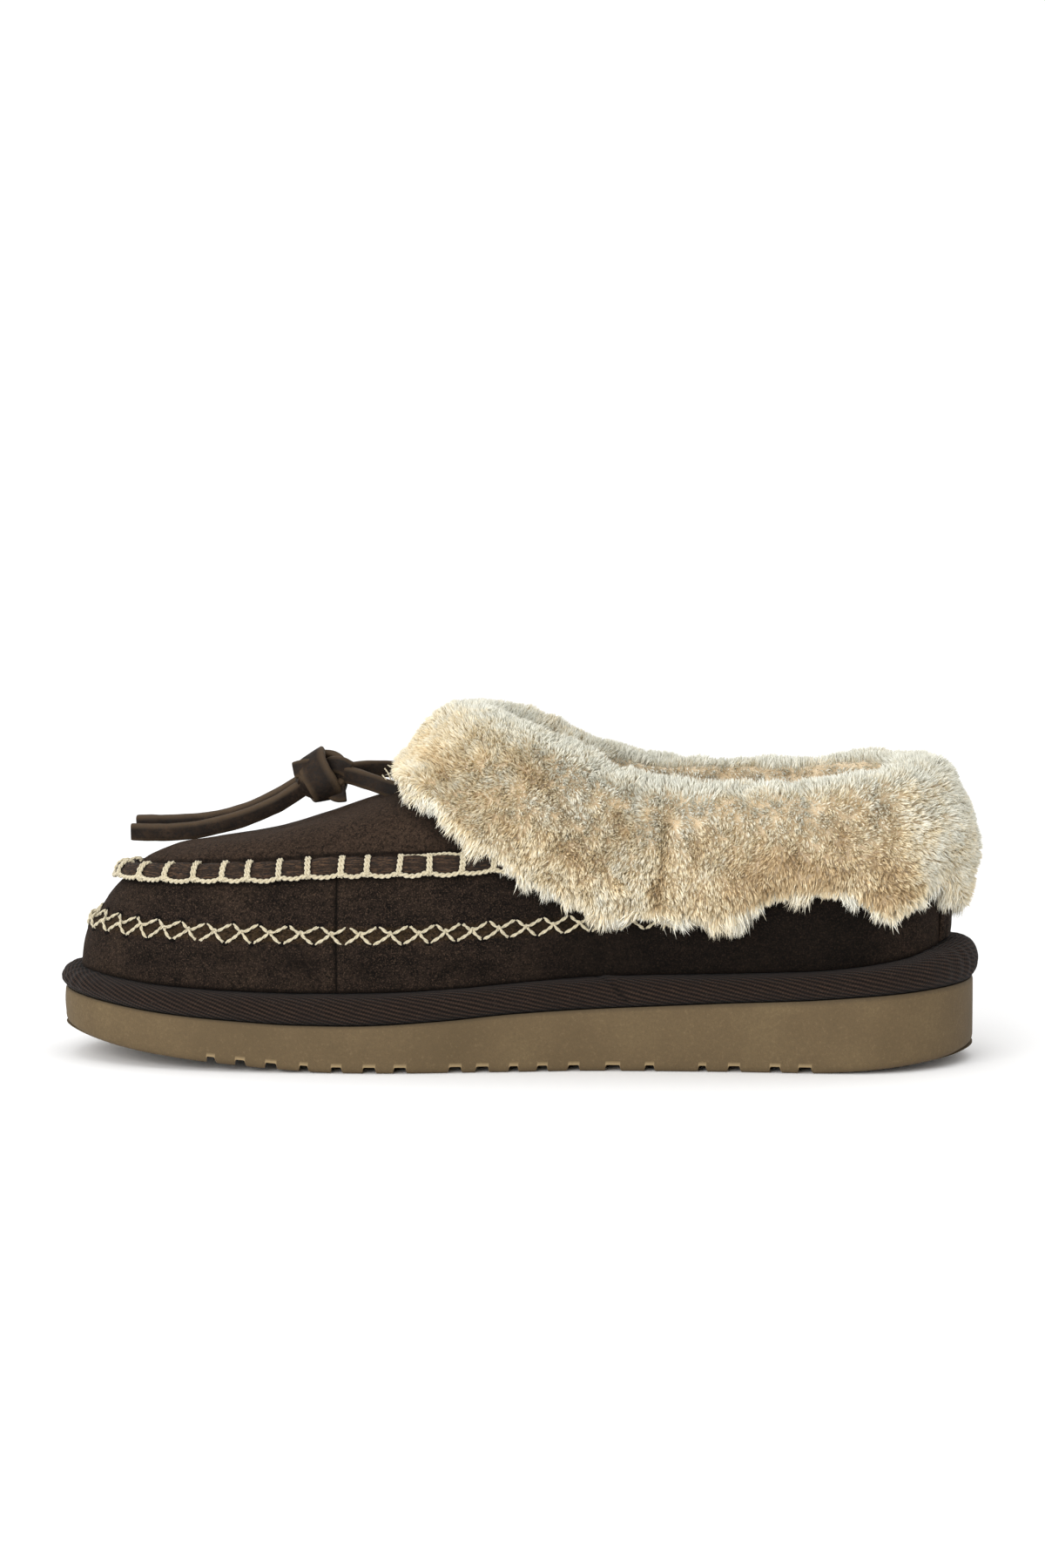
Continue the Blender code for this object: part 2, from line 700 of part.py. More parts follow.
def make_heel_strip(look):
    """Strip over the back seam, from the foot of the wall to the lower edge of the cuff."""
    loops = []
    columns = [k % COLUMNS for k in range(-STAY_COLUMNS, STAY_COLUMNS + 1)]
    for i in columns:
        read, s = column_reader(i)
        width = float(smooth(CUFF, 1, FOLDED[i]))
        rows = np.linspace(s[-1] - 0.6, width + 2.6, 5)
        inner = [read(d)[0] + read(d)[1] * (GAP + 0.1) for d in rows]
        outer = [read(d)[0] + read(d)[1] * (GAP + 0.1 + STAY_THICK) for d in rows]
        loops.append(inner + outer[::-1])
    m = len(loops[0])
    points = np.concatenate([np.array(x) for x in loops])
    faces = []
    for r in range(len(loops) - 1):
        for k in range(m):
            j = (k + 1) % m
            faces.append((r * m + k, r * m + j, (r + 1) * m + j, (r + 1) * m + k))
    for base, flip in ((0, True), ((len(loops) - 1) * m, False)):
        for k in range(m // 2 - 1):
            f = (base + k, base + k + 1, base + m - 2 - k, base + m - 1 - k)
            faces.append(tuple(reversed(f)) if flip else f)
    return solid("heel_strip", points, faces, look, 50)


def smooth_path(points, count):
    """Catmull-Rom curve through the points, read at count places."""
    p = np.array(points, float)
    p = np.vstack([2 * p[0] - p[1], p, 2 * p[-1] - p[-2]])
    out = []
    for u in np.linspace(0, len(points) - 1, count):
        k = min(int(u), len(points) - 2)
        t = u - k
        a, b, c, d = p[k : k + 4]
        out.append(
            0.5
            * (
                2 * b
                + (c - a) * t
                + (2 * a - 5 * b + 4 * c - d) * t * t
                + (3 * b - a - 3 * c + d) * t**3
            )
        )
    return out


def make_thong(name, points, count, look):
    curve = bpy.data.curves.new(name, "CURVE")
    curve.dimensions = "3D"
    curve.bevel_depth = THONG / 2 * MM
    curve.bevel_resolution = 2
    curve.use_fill_caps = True
    spline = curve.splines.new("POLY")
    path = smooth_path(points, count)
    spline.points.add(len(path) - 1)
    for k, q in enumerate(path):
        spline.points[k].co = (
            (q[0] - ORIGIN_X) * MM,
            (q[1] - ORIGIN_Y) * MM,
            q[2] * MM,
            1,
        )
    curve.materials.append(look)
    obj = bpy.data.objects.new(name, curve)
    bpy.context.scene.collection.objects.link(obj)
    return obj


def make_knot(look):
    """Rounded block of the knot's outer size; its front and back faces are flat where the thongs leave."""
    (cx, cy, cz), (lx, ly, lz) = KNOT_CENTRE, KNOT_SIZE
    loops = []
    for share, scale in (
        (-0.5, 0.62),
        (-0.34, 0.9),
        (0.0, 1.0),
        (0.34, 0.9),
        (0.5, 0.62),
    ):
        x = cx + lx * share
        loops.append(
            [
                (
                    x,
                    cy + ly / 2 * scale * math.cos(a),
                    cz + lz / 2 * scale * math.sin(a),
                )
                for a in np.radians(np.arange(0, 360, 36))
            ]
        )
    return tube("lace_knot", loops, look)


def main():
    for obj in list(bpy.data.objects):
        bpy.data.objects.remove(obj)
    suede = material("suede", (0.045, 0.030, 0.024), 0.95)
    tape = material("tape", (0.040, 0.031, 0.029), 0.9)
    foam = material("sole_foam", (0.215, 0.158, 0.088), 0.8)
    fleece = material("fleece", (0.72, 0.58, 0.40), 1.0)
    thong = material("thong", (0.050, 0.034, 0.024), 0.75)

    make_outsole(foam)
    make_midsole(tape)
    make_insole(fleece)
    make_upper(suede)
    front, back = CUFF_SEAM + CUFF_SEAM_GAP / 2, CUFF_SEAM - CUFF_SEAM_GAP / 2
    first = math.ceil(front)
    instep = [front, *range(first, COLUMNS - first + 1), COLUMNS - front]
    heel = [-back, *range(-math.floor(back), math.floor(back) + 1), back]
    make_cuff("cuff_instep", instep, fleece)
    make_cuff("cuff_heel", heel, fleece)
    make_seam_roll(suede)
    make_heel_strip(suede)
    make_thong("lace_near", BIGHT_NEAR, 4, thong)
    make_thong("lace_far", BIGHT_FAR, 4, thong)
    make_knot(thong)
    make_thong("lace_end_near", END_NEAR, 8, thong)
    make_thong("lace_end_far", END_FAR, 8, thong)


main()
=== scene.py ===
"""Looks of the suede moccasin slipper with a turned-down sheepskin cuff, a right shoe.

The shape functions repeat the solids' own design at a finer step. Everything is worked out in millimetres, toe
towards -X and inner side towards -Y, and moved by ORIGIN and turned into metres where a mesh is made.
"""

import math

import bpy
import numpy as np
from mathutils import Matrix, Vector


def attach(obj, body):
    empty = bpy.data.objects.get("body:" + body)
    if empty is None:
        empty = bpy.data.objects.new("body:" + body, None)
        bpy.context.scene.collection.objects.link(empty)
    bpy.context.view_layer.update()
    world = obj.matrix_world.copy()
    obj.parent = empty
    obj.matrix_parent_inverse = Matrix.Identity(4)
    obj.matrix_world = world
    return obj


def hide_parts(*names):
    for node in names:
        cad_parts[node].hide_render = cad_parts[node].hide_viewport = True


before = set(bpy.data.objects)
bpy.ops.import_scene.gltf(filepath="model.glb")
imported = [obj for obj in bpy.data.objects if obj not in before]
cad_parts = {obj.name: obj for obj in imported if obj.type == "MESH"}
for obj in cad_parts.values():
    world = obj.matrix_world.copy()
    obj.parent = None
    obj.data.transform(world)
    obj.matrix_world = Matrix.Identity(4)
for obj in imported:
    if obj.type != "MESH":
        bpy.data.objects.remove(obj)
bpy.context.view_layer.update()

MM = 0.001
ORIGIN = np.array([-0.87, 4.50, 0.0])
SOLE_TOE_X = -134.3
SOLE_HEEL_X = 132.5
TOE_ROUND = 70.0
HEEL_ROUND = 40.0
TOE_POWER = 2.3
HEEL_POWER = 2.25
WALL = 6.0
SKIN = 1.5
GAP = 0.3
CUFF_GAP = 0.6
SEAM_ANGLE = 70.6  # where the cuff's two pieces meet, in degrees round the sole outline
ROLL_OUT = 3.4  # depth of the roll with its stitches
ROLL_THICK = 3.1
ROLL_HIGH = 5.2
GROOVE_DEPTH = 2.0
THONG = (5.0, 3.0)

SOLE_PLAN = [
    (-134.3, -6.0, 39.0, 46.0),
    (-115.0, -5.8, 40.0, 49.5),
    (-95.0, -5.0, 41.5, 53.0),
    (-65.0, -2.6, 44.0, 56.5),
    (-38.0, -1.0, 45.6, 56.6),
    (-5.0, 0.0, 41.5, 54.5),
    (28.0, 0.0, 36.6, 48.5),
    (60.0, 0.0, 36.2, 42.6),
    (90.0, 0.0, 37.6, 39.6),
    (112.0, 0.0, 38.0, 38.6),
    (132.5, 0.0, 38.0, 38.4),
]
# x, underside, top edge of the sole, foot of the upper, footbed seat, cross-stitched seam, moccasin seam
SIDE = [
    (-134.3, 9.6, 20.2, 26.9, 26.0, 40.5, 54.8),
    (-120.0, 6.2, 18.3, 25.3, 25.2, 40.1, 56.1),
    (-103.0, 3.9, 16.4, 23.8, 23.8, 39.8, 57.7),
    (-78.0, 1.7, 14.7, 22.9, 22.9, 39.6, 59.4),
    (-62.0, 0.5, 13.9, 22.6, 22.6, 39.5, 60.6),
    (-50.0, 0.0, 13.8, 22.7, 22.7, 39.4, 61.0),
    (-20.0, 0.0, 15.2, 23.6, 23.6, 40.2, 62.1),
    (0.0, 0.0, 17.0, 25.3, 25.3, 41.3, 63.2),
    (25.0, 0.0, 18.3, 27.0, 27.0, 42.8, 64.0),
    (60.0, 0.0, 20.0, 28.0, 28.0, 45.0, 64.6),
    (85.0, 0.0, 21.2, 28.9, 28.8, 46.8, 65.0),
    (100.0, 0.7, 22.3, 30.3, 29.4, 48.4, 65.6),
    (114.0, 1.9, 23.2, 32.4, 29.8, 49.8, 66.6),
    (126.0, 3.4, 24.0, 35.8, 30.2, 50.8, 67.4),
    (132.5, 4.6, 24.3, 36.6, 30.4, 51.0, 67.6),
]
OUTER_DROP = [
    (-134.0, 2.0),
    (-112.0, 4.2),
    (-90.0, 5.0),
    (-60.0, 4.8),
    (-20.0, 3.0),
    (30.0, 0.0),
]
TOPLINE = [
    (-12.0, 22.0, 23.0, 87.4),
    (-4.0, 25.0, 26.0, 86.8),
    (4.0, 27.4, 28.4, 85.0),
    (15.0, 29.6, 30.6, 81.4),
    (28.0, 31.2, 32.2, 78.6),
    (42.0, 32.2, 33.0, 77.2),
    (60.0, 32.8, 33.4, 76.6),
    (80.0, 33.0, 33.4, 77.2),
    (98.0, 32.4, 32.8, 79.8),
    (115.5, 30.5, 31.0, 82.4),
]
TOP_FRONT_ROUND = 24.0
TOP_HEEL_ROUND = 33.0
FAN = [
    (0, 0.0),
    (15, 17.5),
    (30, 36.0),
    (45, 57.5),
    (60, 80.5),
    (75, 104.5),
    (90, 124.0),
    (105, 140.0),
    (120, 152.5),
    (140, 165.5),
    (160, 173.5),
    (180, 180.0),
]
LEDGE = [(0, 8.4), (25, 7.4), (50, 6.0), (110, 5.0), (150, 4.8), (180, 4.6)]
# name, zone, height there, inset toe mm, inset ball mm, inset heel share, bulge ball mm, bulge heel mm
WALL_ROWS = [
    ("foot", "low", 0.00, 0.0, 0.0, 0.00, 0.0, 0.0),
    ("wall_low", "low", 0.38, 0.5, 0.0, 0.05, 0.9, 0.8),
    ("wall_mid", "low", 0.74, 1.8, 0.1, 0.12, 1.6, 1.4),
    ("band_edge", "stitch", -0.7, 2.8, 0.2, 0.20, 1.8, 1.5),
    ("band_lip", "stitch", 0.15, 3.3, 0.6, 0.21, 1.75, 1.5),
    ("band_in", "stitch", 0.75, 4.9, 1.7, 0.23, 1.25, 1.5),
    ("band_step", "stitch", 1.9, 5.5, 1.8, 0.27, 1.2, 1.5),
    ("wall_high", "mid", 0.45, 8.2, 3.4, 0.36, 0.9, 1.5),
    ("seam_low", "ridge", -3.6, 11.8, 6.0, 0.46, 0.5, 1.4),
    ("seam", "ridge", 0.0, 15.8, 8.4, 0.54, 0.2, 1.3),
    ("plug_edge", "ridge", 3.0, 18.8, 10.8, 0.60, 0.0, 1.2),
]
# name, share of the way to the topline, share of the height at toe, ball and heel, bulge heel mm
PLUG_ROWS = [
    ("shoulder", 0.050, 0.165, 0.180, 0.20, 1.1),
    ("plug_1", 0.100, 0.220, 0.255, 0.28, 1.0),
    ("plug_2", 0.190, 0.268, 0.350, 0.37, 0.8),
    ("plug_3", 0.320, 0.338, 0.470, 0.48, 0.6),
    ("plug_4", 0.490, 0.455, 0.605, 0.61, 0.4),
    ("plug_5", 0.660, 0.620, 0.735, 0.75, 0.2),
    ("plug_6", 0.830, 0.800, 0.865, 0.88, 0.1),
    ("topline", 1.000, 1.000, 1.000, 1.00, 0.0),
]
# angle, width down from the topline, thickness, height of the fold
CUFF = [
    (0, 40.4, 11.8, 6.4),
    (8, 38.0, 11.9, 6.4),
    (15, 30.6, 12.0, 6.5),
    (22.5, 33.2, 12.1, 6.6),
    (28, 35.6, 12.2, 6.8),
    (33, 37.4, 12.4, 7.0),
    (39.4, 30.5, 12.4, 7.2),
    (45, 27.0, 12.4, 7.4),
    (51, 25.4, 12.4, 7.6),
    (57, 30.4, 12.4, 7.8),
    (62, 33.2, 12.6, 8.0),
    (73, 33.4, 12.8, 8.2),
    (79, 35.0, 13.0, 8.6),
    (84.4, 32.0, 13.2, 9.0),
    (96, 28.8, 13.8, 9.8),
    (107, 28.6, 14.6, 10.4),
    (124, 28.4, 16.0, 10.8),
    (140, 27.0, 16.9, 10.8),
    (180, 25.6, 17.2, 10.8),
]
CUFF_PROFILE = [
    (0.00, 0.46, 0.00, 0.46),
    (0.16, 0.84, 0.20, 0.63),
    (0.42, 1.00, 0.42, 0.86),
    (0.72, 1.00, 0.72, 1.03),
    (1.00, 0.90, 1.00, 1.00),
]
GROOVES = [
    (-87.0, 2.8),
    (-78.5, 3.2),
    (-69.5, 3.6),
    (-60.0, 2.8),
    (-50.5, 3.4),
    (-41.0, 4.0),
    (-32.0, 4.0),
    (-16.0, 4.0),
    (-8.0, 4.0),
    (1.0, 3.0),
    (9.5, 3.4),
    (18.5, 3.6),
    (30.0, 4.6),
    (40.5, 3.0),
    (56.0, 2.6),
    (65.0, 3.8),
    (77.0, 3.4),
    (85.5, 4.2),
]
# Blanket stitches on the moccasin seam and crosses on the lower seam, in mm along each seam from the toe.
BARS = [1.2, 10.8, 22.1, 31.8, 41.7, 50.5, 58.1, 67.1, 75.6, 85.2, 92.7, 101.9, 110.7, 119.9, 129.1, 138.0]
CROSSES = [8.4, 16.4, 24.3, 32.4, 40.5, 48.6, 56.7, 64.7, 72.7, 82.0, 91.2, 98.8, 108.3, 116.5, 123.7, 131.7, 139.5, 147.4, 155.4, 162.9, 170.7, 178.4, 186.0, 194.0]
SIDE_SEAM_X = -51.1

CAMERA_TURN = 4.0
CAMERA_RISE = 6.5
CAMERA_FAR = 2.0
CAMERA_AIM = (0.0, 0.0, 79.5)

RNG = np.random.default_rng(20)


# ------------------------------------------------------------------ camera, floor and light
def make_stage():
    a, e = math.radians(CAMERA_TURN), math.radians(CAMERA_RISE)
    back = Vector((math.sin(a) * math.cos(e), -math.cos(a) * math.cos(e), math.sin(e)))
    cam = bpy.data.cameras.new("camera")
    cam.lens, cam.sensor_width, cam.clip_end = 156.25, 36.0, 20.0
    obj = bpy.data.objects.new("camera", cam)
    bpy.context.scene.collection.objects.link(obj)
    obj.location = Vector(tuple((np.array(CAMERA_AIM) - ORIGIN) * MM)) + back * CAMERA_FAR
    obj.rotation_euler = (-back).to_track_quat("-Z", "Y").to_euler()
    bpy.context.scene.camera = obj

    world = bpy.data.worlds.new("studio")
    world.use_nodes = True
    bg = world.node_tree.nodes["Background"]
    bg.inputs["Color"].default_value = (1.0, 1.0, 1.0, 1)
    bg.inputs["Strength"].default_value = 1.08
    bpy.context.scene.world = world

    def area(name, place, aim, size, power):
        light = bpy.data.lights.new(name, "AREA")
        light.shape, light.size, light.size_y = "RECTANGLE", size[0], size[1]
        light.energy = power
        o = bpy.data.objects.new(name, light)
        bpy.context.scene.collection.objects.link(o)
        o.location = place
        o.rotation_euler = (Vector(aim) - Vector(place)).to_track_quat("-Z", "Y").to_euler()

    area("top_light", (-0.15, 0.05, 1.2), (0, 0, 0.03), (1.3, 0.9), 0.8)
    area("front_light", (-0.55, -1.5, 0.55), (0, 0, 0.05), (1.2, 0.8), 20.0)

    floor = bpy.data.meshes.new("floor")
    floor.from_pydata([(-4, -4, 0), (4, -4, 0), (4, 4, 0), (-4, 4, 0)], [], [(0, 1, 2, 3)])
    o = bpy.data.objects.new("floor", floor)
    bpy.context.scene.collection.objects.link(o)
    m = bpy.data.materials.new("floor")
    m.use_nodes = True
    b = m.node_tree.nodes["Principled BSDF"]
    b.inputs["Base Color"].default_value = (0.97, 0.97, 0.97, 1)
    b.inputs["Roughness"].default_value = 0.9
    b.inputs["Specular IOR Level"].default_value = 0.1
    floor.materials.append(m)
    bpy.context.scene.view_settings.view_transform = "Standard"
    bpy.context.scene.view_settings.look = "None"


# ------------------------------------------------------------------ numbers
def smooth(table, column, x):
    xs = np.array([r[0] for r in table], float)
    ys = np.array([r[column] for r in table], float)
    h = np.diff(xs)
    d = np.diff(ys) / h
    m = np.zeros(len(xs))
    m[0], m[-1] = d[0], d[-1]
    for k in range(1, len(xs) - 1):
        if d[k - 1] * d[k] > 0:
            a, b = 2 * h[k] + h[k - 1], h[k] + 2 * h[k - 1]
            m[k] = (a + b) / (a / d[k - 1] + b / d[k])
    x = np.clip(np.asarray(x, float), xs[0], xs[-1])
    k = np.clip(np.searchsorted(xs, x) - 1, 0, len(h) - 1)
    t = (x - xs[k]) / h[k]
    return (
        (2 * t**3 - 3 * t**2 + 1) * ys[k]
        + (t**3 - 2 * t**2 + t) * h[k] * m[k]
        + (3 * t**2 - 2 * t**3) * ys[k + 1]
        + (t**3 - t**2) * h[k] * m[k + 1]
    )


def ease(a, b, x):
    t = np.clip((np.asarray(x, float) - a) / (b - a), 0, 1)
    return t * t * (3 - 2 * t)


def rounding(distance, length, power):
    u = np.clip(1 - np.asarray(distance, float) / length, 0, 1)
    return (1 - u**power) ** (1 / power)


def lattice(ix, iy, iz, seed):
    n = (ix * 73856093) ^ (iy * 19349663) ^ (iz * 83492791) ^ (seed * 265443577)
    n = (n ^ (n >> 13)) * 1274126177
    n = n ^ (n >> 16)
    return (n & 0xFFFF) / 65535.0


def noise(p, size, seed=1):
    """Smooth noise from 0 to 1 at points p, with features of that size."""
    q = np.asarray(p, float) / size + 500.0
    i = np.floor(q).astype(np.int64)
    f = q - i
    f = f * f * (3 - 2 * f)
    x, y, z = i[..., 0], i[..., 1], i[..., 2]
    fx, fy, fz = f[..., 0], f[..., 1], f[..., 2]
    out = 0.0
    for dx in (0, 1):
        for dy in (0, 1):
            for dz in (0, 1):
                w = (fx if dx else 1 - fx) * (fy if dy else 1 - fy) * (fz if dz else 1 - fz)
                out = out + w * lattice(x + dx, y + dy, z + dz, seed)
    return out


def unit(v):
    return v / np.maximum(np.linalg.norm(v, axis=-1, keepdims=True), 1e-9)


def resample(ctrl, t):
    """Smooth curve along axis 1 of ctrl (columns, rows, 3), read at row coordinates t."""
    step = np.linalg.norm(np.diff(ctrl, axis=1), axis=2)
    step = np.maximum(step, 1e-4)[:, :, None]
    slope = np.diff(ctrl, axis=1) / step
    m = np.empty_like(ctrl)
    m[:, 0], m[:, -1] = slope[:, 0], slope[:, -1]
    m[:, 1:-1] = (slope[:, :-1] * step[:, 1:] + slope[:, 1:] * step[:, :-1]) / (step[:, 1:] + step[:, :-1])
    t = np.asarray(t, float)
    k = np.clip(np.floor(t).astype(int), 0, ctrl.shape[1] - 2)
    u = (t - k)[None, :, None]
    h = step[:, k]
    return (
        (2 * u**3 - 3 * u**2 + 1) * ctrl[:, k]
        + (u**3 - 2 * u**2 + u) * h * m[:, k]
        + (3 * u**2 - 2 * u**3) * ctrl[:, k + 1]
        + (u**3 - u**2) * h * m[:, k + 1]
    )


# ------------------------------------------------------------------ the shoe's curves
HALF_ANGLES = np.unique(np.concatenate([np.linspace(0, 180, 311), np.linspace(107.5, 118.5, 58)]))
FOLDED = np.concatenate([HALF_ANGLES, HALF_ANGLES[-2:0:-1]])
SIGN = np.concatenate([-np.ones(len(HALF_ANGLES)), np.ones(len(HALF_ANGLES) - 2)])
NC = len(FOLDED)
FLIP = False


def outward(curve):
    t = np.roll(curve, -1, 0) - np.roll(curve, 1, 0)
    n = unit(np.stack([t[:, 1], -t[:, 0]], 1))
    return n if ((curve - curve.mean(0)) * n).sum() > 0 else -n


def sole_outline(folded, sign):
    x = (SOLE_TOE_X + SOLE_HEEL_X) / 2 + (SOLE_HEEL_X - SOLE_TOE_X) / 2 * np.cos(np.radians(folded))
    close = rounding(x - SOLE_TOE_X, TOE_ROUND, TOE_POWER) * rounding(SOLE_HEEL_X - x, HEEL_ROUND, HEEL_POWER)
    half = np.where(sign < 0, smooth(SOLE_PLAN, 2, x), smooth(SOLE_PLAN, 3, x))
    return np.stack([x, smooth(SOLE_PLAN, 1, x) + sign * half * close], 1)


def topline():
    psi = smooth(FAN, 1, FOLDED)
    x0, x1 = TOPLINE[0][0], TOPLINE[-1][0]
    x = (x0 + x1) / 2 + (x1 - x0) / 2 * np.cos(np.radians(psi))
    close = rounding(x - x0, TOP_FRONT_ROUND, 2.1) * rounding(x1 - x, TOP_HEEL_ROUND, 2.2)
    half = np.where(SIGN < 0, smooth(TOPLINE, 1, x), smooth(TOPLINE, 2, x))
    return np.stack([x, SIGN * half * close, smooth(TOPLINE, 3, x)], 1)


SOLE = sole_outline(FOLDED, SIGN)
SOLE_OUT = outward(SOLE)
FOOT = SOLE - SOLE_OUT * smooth(LEDGE, 1, FOLDED)[:, None]
TOP = topline()


def side(column, x):
    return smooth(SIDE, column, x)


def upper_control():
    path = TOP[:, :2] - FOOT
    length = np.linalg.norm(path, axis=1)
    along = path / length[:, None]
    toe = ease(112, 166, FOLDED)
    heel = 1 - ease(62, 97, FOLDED)
    ball = 1 - toe - heel
    foot, stitch, ridge = (side(c, FOOT[:, 0]) for c in (3, 5, 6))
    foot = foot + GAP
    outer = np.clip(FOOT[:, 1] / 30.0 + 0.5, 0, 1)
    ridge = ridge - smooth(OUTER_DROP, 1, FOOT[:, 0]) * outer
    rows = []
    for _, zone, r, in_toe, in_ball, in_heel, out_ball, out_heel in WALL_ROWS:
        z = {
            "low": foot + (stitch - foot) * r,
            "stitch": stitch + r,
            "mid": stitch + (ridge - stitch) * r,
            "ridge": ridge + r,
        }[zone]
        inset = toe * in_toe + ball * in_ball + heel * in_heel * length
        bulge = ball * out_ball + heel * out_heel
        rows.append(np.column_stack([FOOT + along * inset[:, None] + SOLE_OUT * bulge[:, None], z]))
    edge_inset, edge_z = inset, z
    for _, share, z_toe, z_ball, z_heel, out_heel in PLUG_ROWS:
        rise = toe * z_toe + ball * z_ball + heel * z_heel
        z = np.maximum(ridge + (TOP[:, 2] - ridge) * rise, edge_z + 0.4)
        inset = edge_inset + (length - edge_inset) * share
        rows.append(
            np.column_stack([FOOT + along * inset[:, None] + SOLE_OUT * (heel * out_heel)[:, None], z])
        )
    return np.stack(rows, 1)


def normals(grid):
    du = np.roll(grid, -1, 0) - np.roll(grid, 1, 0)
    dv = np.empty_like(grid)
    dv[:, 1:-1] = grid[:, 2:] - grid[:, :-2]
    dv[:, 0] = grid[:, 1] - grid[:, 0]
    dv[:, -1] = grid[:, -1] - grid[:, -2]
    n = unit(np.cross(du, dv))
    away = grid - np.array([0.0, 0.0, 30.0])
    away[:, :, 0] = 0
    return n if (n * away).sum() > 0 else -n


ROW = {r[0]: k for k, r in enumerate(WALL_ROWS + PLUG_ROWS)}
CTRL = upper_control()
T_ROWS = np.unique(
    np.concatenate(
        [
            np.arange(len(ROW)),
            np.linspace(0, 3, 16),
            np.linspace(3, 6, 13),
            np.linspace(6, 9, 19),
            np.linspace(9, 12, 13),
            np.linspace(12, len(ROW) - 1, 37),
        ]
    )
)
UP = resample(CTRL, T_ROWS)
UN = normals(UP)
US = np.concatenate([np.zeros((NC, 1)), np.cumsum(np.linalg.norm(np.diff(UP, axis=1), axis=2), axis=1)], 1)


def arc_at(row):
    """Arc length up each column to a control row, which may be fractional."""
    return np.array([np.interp(row, T_ROWS, US[i]) for i in range(NC)])


ARC_STITCH = arc_at(ROW["band_lip"] + 0.5)
ARC_SEAM = arc_at(ROW["seam"])
ARC_TOP = US[:, -1]


def on_skin(col, s):
    """(point, normal) of the upper's outer face at a fractional column and an arc length up from its foot."""
    i0 = int(math.floor(col)) % NC
    f = col - math.floor(col)
    out = []
    for i in (i0, (i0 + 1) % NC):
        out.append(
            (
                np.array([np.interp(s, US[i], UP[i, :, k]) for k in range(3)]),
                np.array([np.interp(s, US[i], UN[i, :, k]) for k in range(3)]),
            )
        )
    p = out[0][0] * (1 - f) + out[1][0] * f
    n = out[0][1] * (1 - f) + out[1][1] * f
    return p, n / np.linalg.norm(n)


# ------------------------------------------------------------------ meshes and materials
def place(points):
    return (np.asarray(points, float) - ORIGIN) * MM


def make_object(name, points, faces, looks, index=None, shade=True, angle=None):
    """faces is one array (n, 4) or (n, 3), or a list of such arrays; index the material of each face."""
    groups = faces if isinstance(faces, list) else [faces]
    groups = [np.asarray(g, np.int32) for g in groups if len(g)]
    mesh = bpy.data.meshes.new(name)
    pts = place(points).astype(np.float32)
    mesh.vertices.add(len(pts))
    mesh.vertices.foreach_set("co", pts.ravel())
    loops = np.concatenate([g.ravel() for g in groups])
    sizes = np.concatenate([np.full(len(g), g.shape[1], np.int32) for g in groups])
    starts = np.concatenate([[0], np.cumsum(sizes)[:-1]]).astype(np.int32)
    mesh.loops.add(len(loops))
    mesh.loops.foreach_set("vertex_index", loops)
    mesh.polygons.add(len(sizes))
    mesh.polygons.foreach_set("loop_start", starts)
    for m in looks if isinstance(looks, (list, tuple)) else [looks]:
        mesh.materials.append(m)
    if index is not None:
        mesh.polygons.foreach_set("material_index", np.asarray(index, np.int32))
    mesh.update(calc_edges=True)
    if shade:
        mesh.shade_smooth()
    if angle is not None:
        mesh.set_sharp_from_angle(angle=math.radians(angle))
    obj = bpy.data.objects.new(name, mesh)
    bpy.context.scene.collection.objects.link(obj)
    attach(obj, "root")
    return obj


def paint(obj, name, values):
    a = obj.data.attributes.new(name, "FLOAT", "POINT")
    a.data.foreach_set("value", np.asarray(values, np.float32).ravel())


def lay_uv(obj, uv, wrap=None):
    """uv per vertex, in millimetres along and across; wrap is the length after which u starts again."""
    layer = obj.data.uv_layers.new(name="UVMap")
    loops = np.empty(len(obj.data.loops), np.int32)
    obj.data.loops.foreach_get("vertex_index", loops)
    out = np.asarray(uv, float)[loops]
    if wrap is not None:
        start = np.empty(len(obj.data.polygons), np.int32)
        total = np.empty(len(obj.data.polygons), np.int32)
        obj.data.polygons.foreach_get("loop_start", start)
        obj.data.polygons.foreach_get("loop_total", total)
        high = np.repeat(np.maximum.reduceat(out[:, 0], start), total)
        out[:, 0] += np.where(high - out[:, 0] > wrap / 2, wrap, 0.0)
    layer.data.foreach_set("uv", out.astype(np.float32).ravel())


def grid_faces(nu, nv, wrap_u=True, wrap_v=False, flip=False, base=0):
    """Quads of a grid stored column by column: point (i, j) is at i * nv + j."""
    iu = np.arange(nu if wrap_u else nu - 1)
    jv = np.arange(nv if wrap_v else nv - 1)
    i, j = np.meshgrid(iu, jv, indexing="ij")
    i2, j2 = (i + 1) % nu, (j + 1) % nv
    f = np.stack([i * nv + j, i2 * nv + j, i2 * nv + j2, i * nv + j2], -1).reshape(-1, 4) + base
    return f[:, ::-1] if flip else f


def across_faces(index, flip=False):
    """Quads straight across a closed shoe-shaped loop of vertex numbers."""
    n = len(index)
    h = n // 2
    f = []
    for i in range(h):
        q = [index[i], index[(i + 1) % n], index[(n - i - 1) % n], index[(n - i) % n]]
        f.append(q)
    f = np.array(f)
    quads, tris = f[1:-1], np.array([[f[0][0], f[0][1], f[0][2]], [f[-1][0], f[-1][1], f[-1][3]]])
    if flip:
        quads, tris = quads[:, ::-1], tris[:, ::-1]
    return quads, tris


def principled(name, colour, rough, **more):
    m = bpy.data.materials.new(name)
    m.use_nodes = True
    b = m.node_tree.nodes["Principled BSDF"]
    b.inputs["Base Color"].default_value = (*colour, 1)
    b.inputs["Roughness"].default_value = rough
    for k, v in more.items():
        b.inputs[k].default_value = v
    m.diffuse_color = (*colour, 1)
    return m


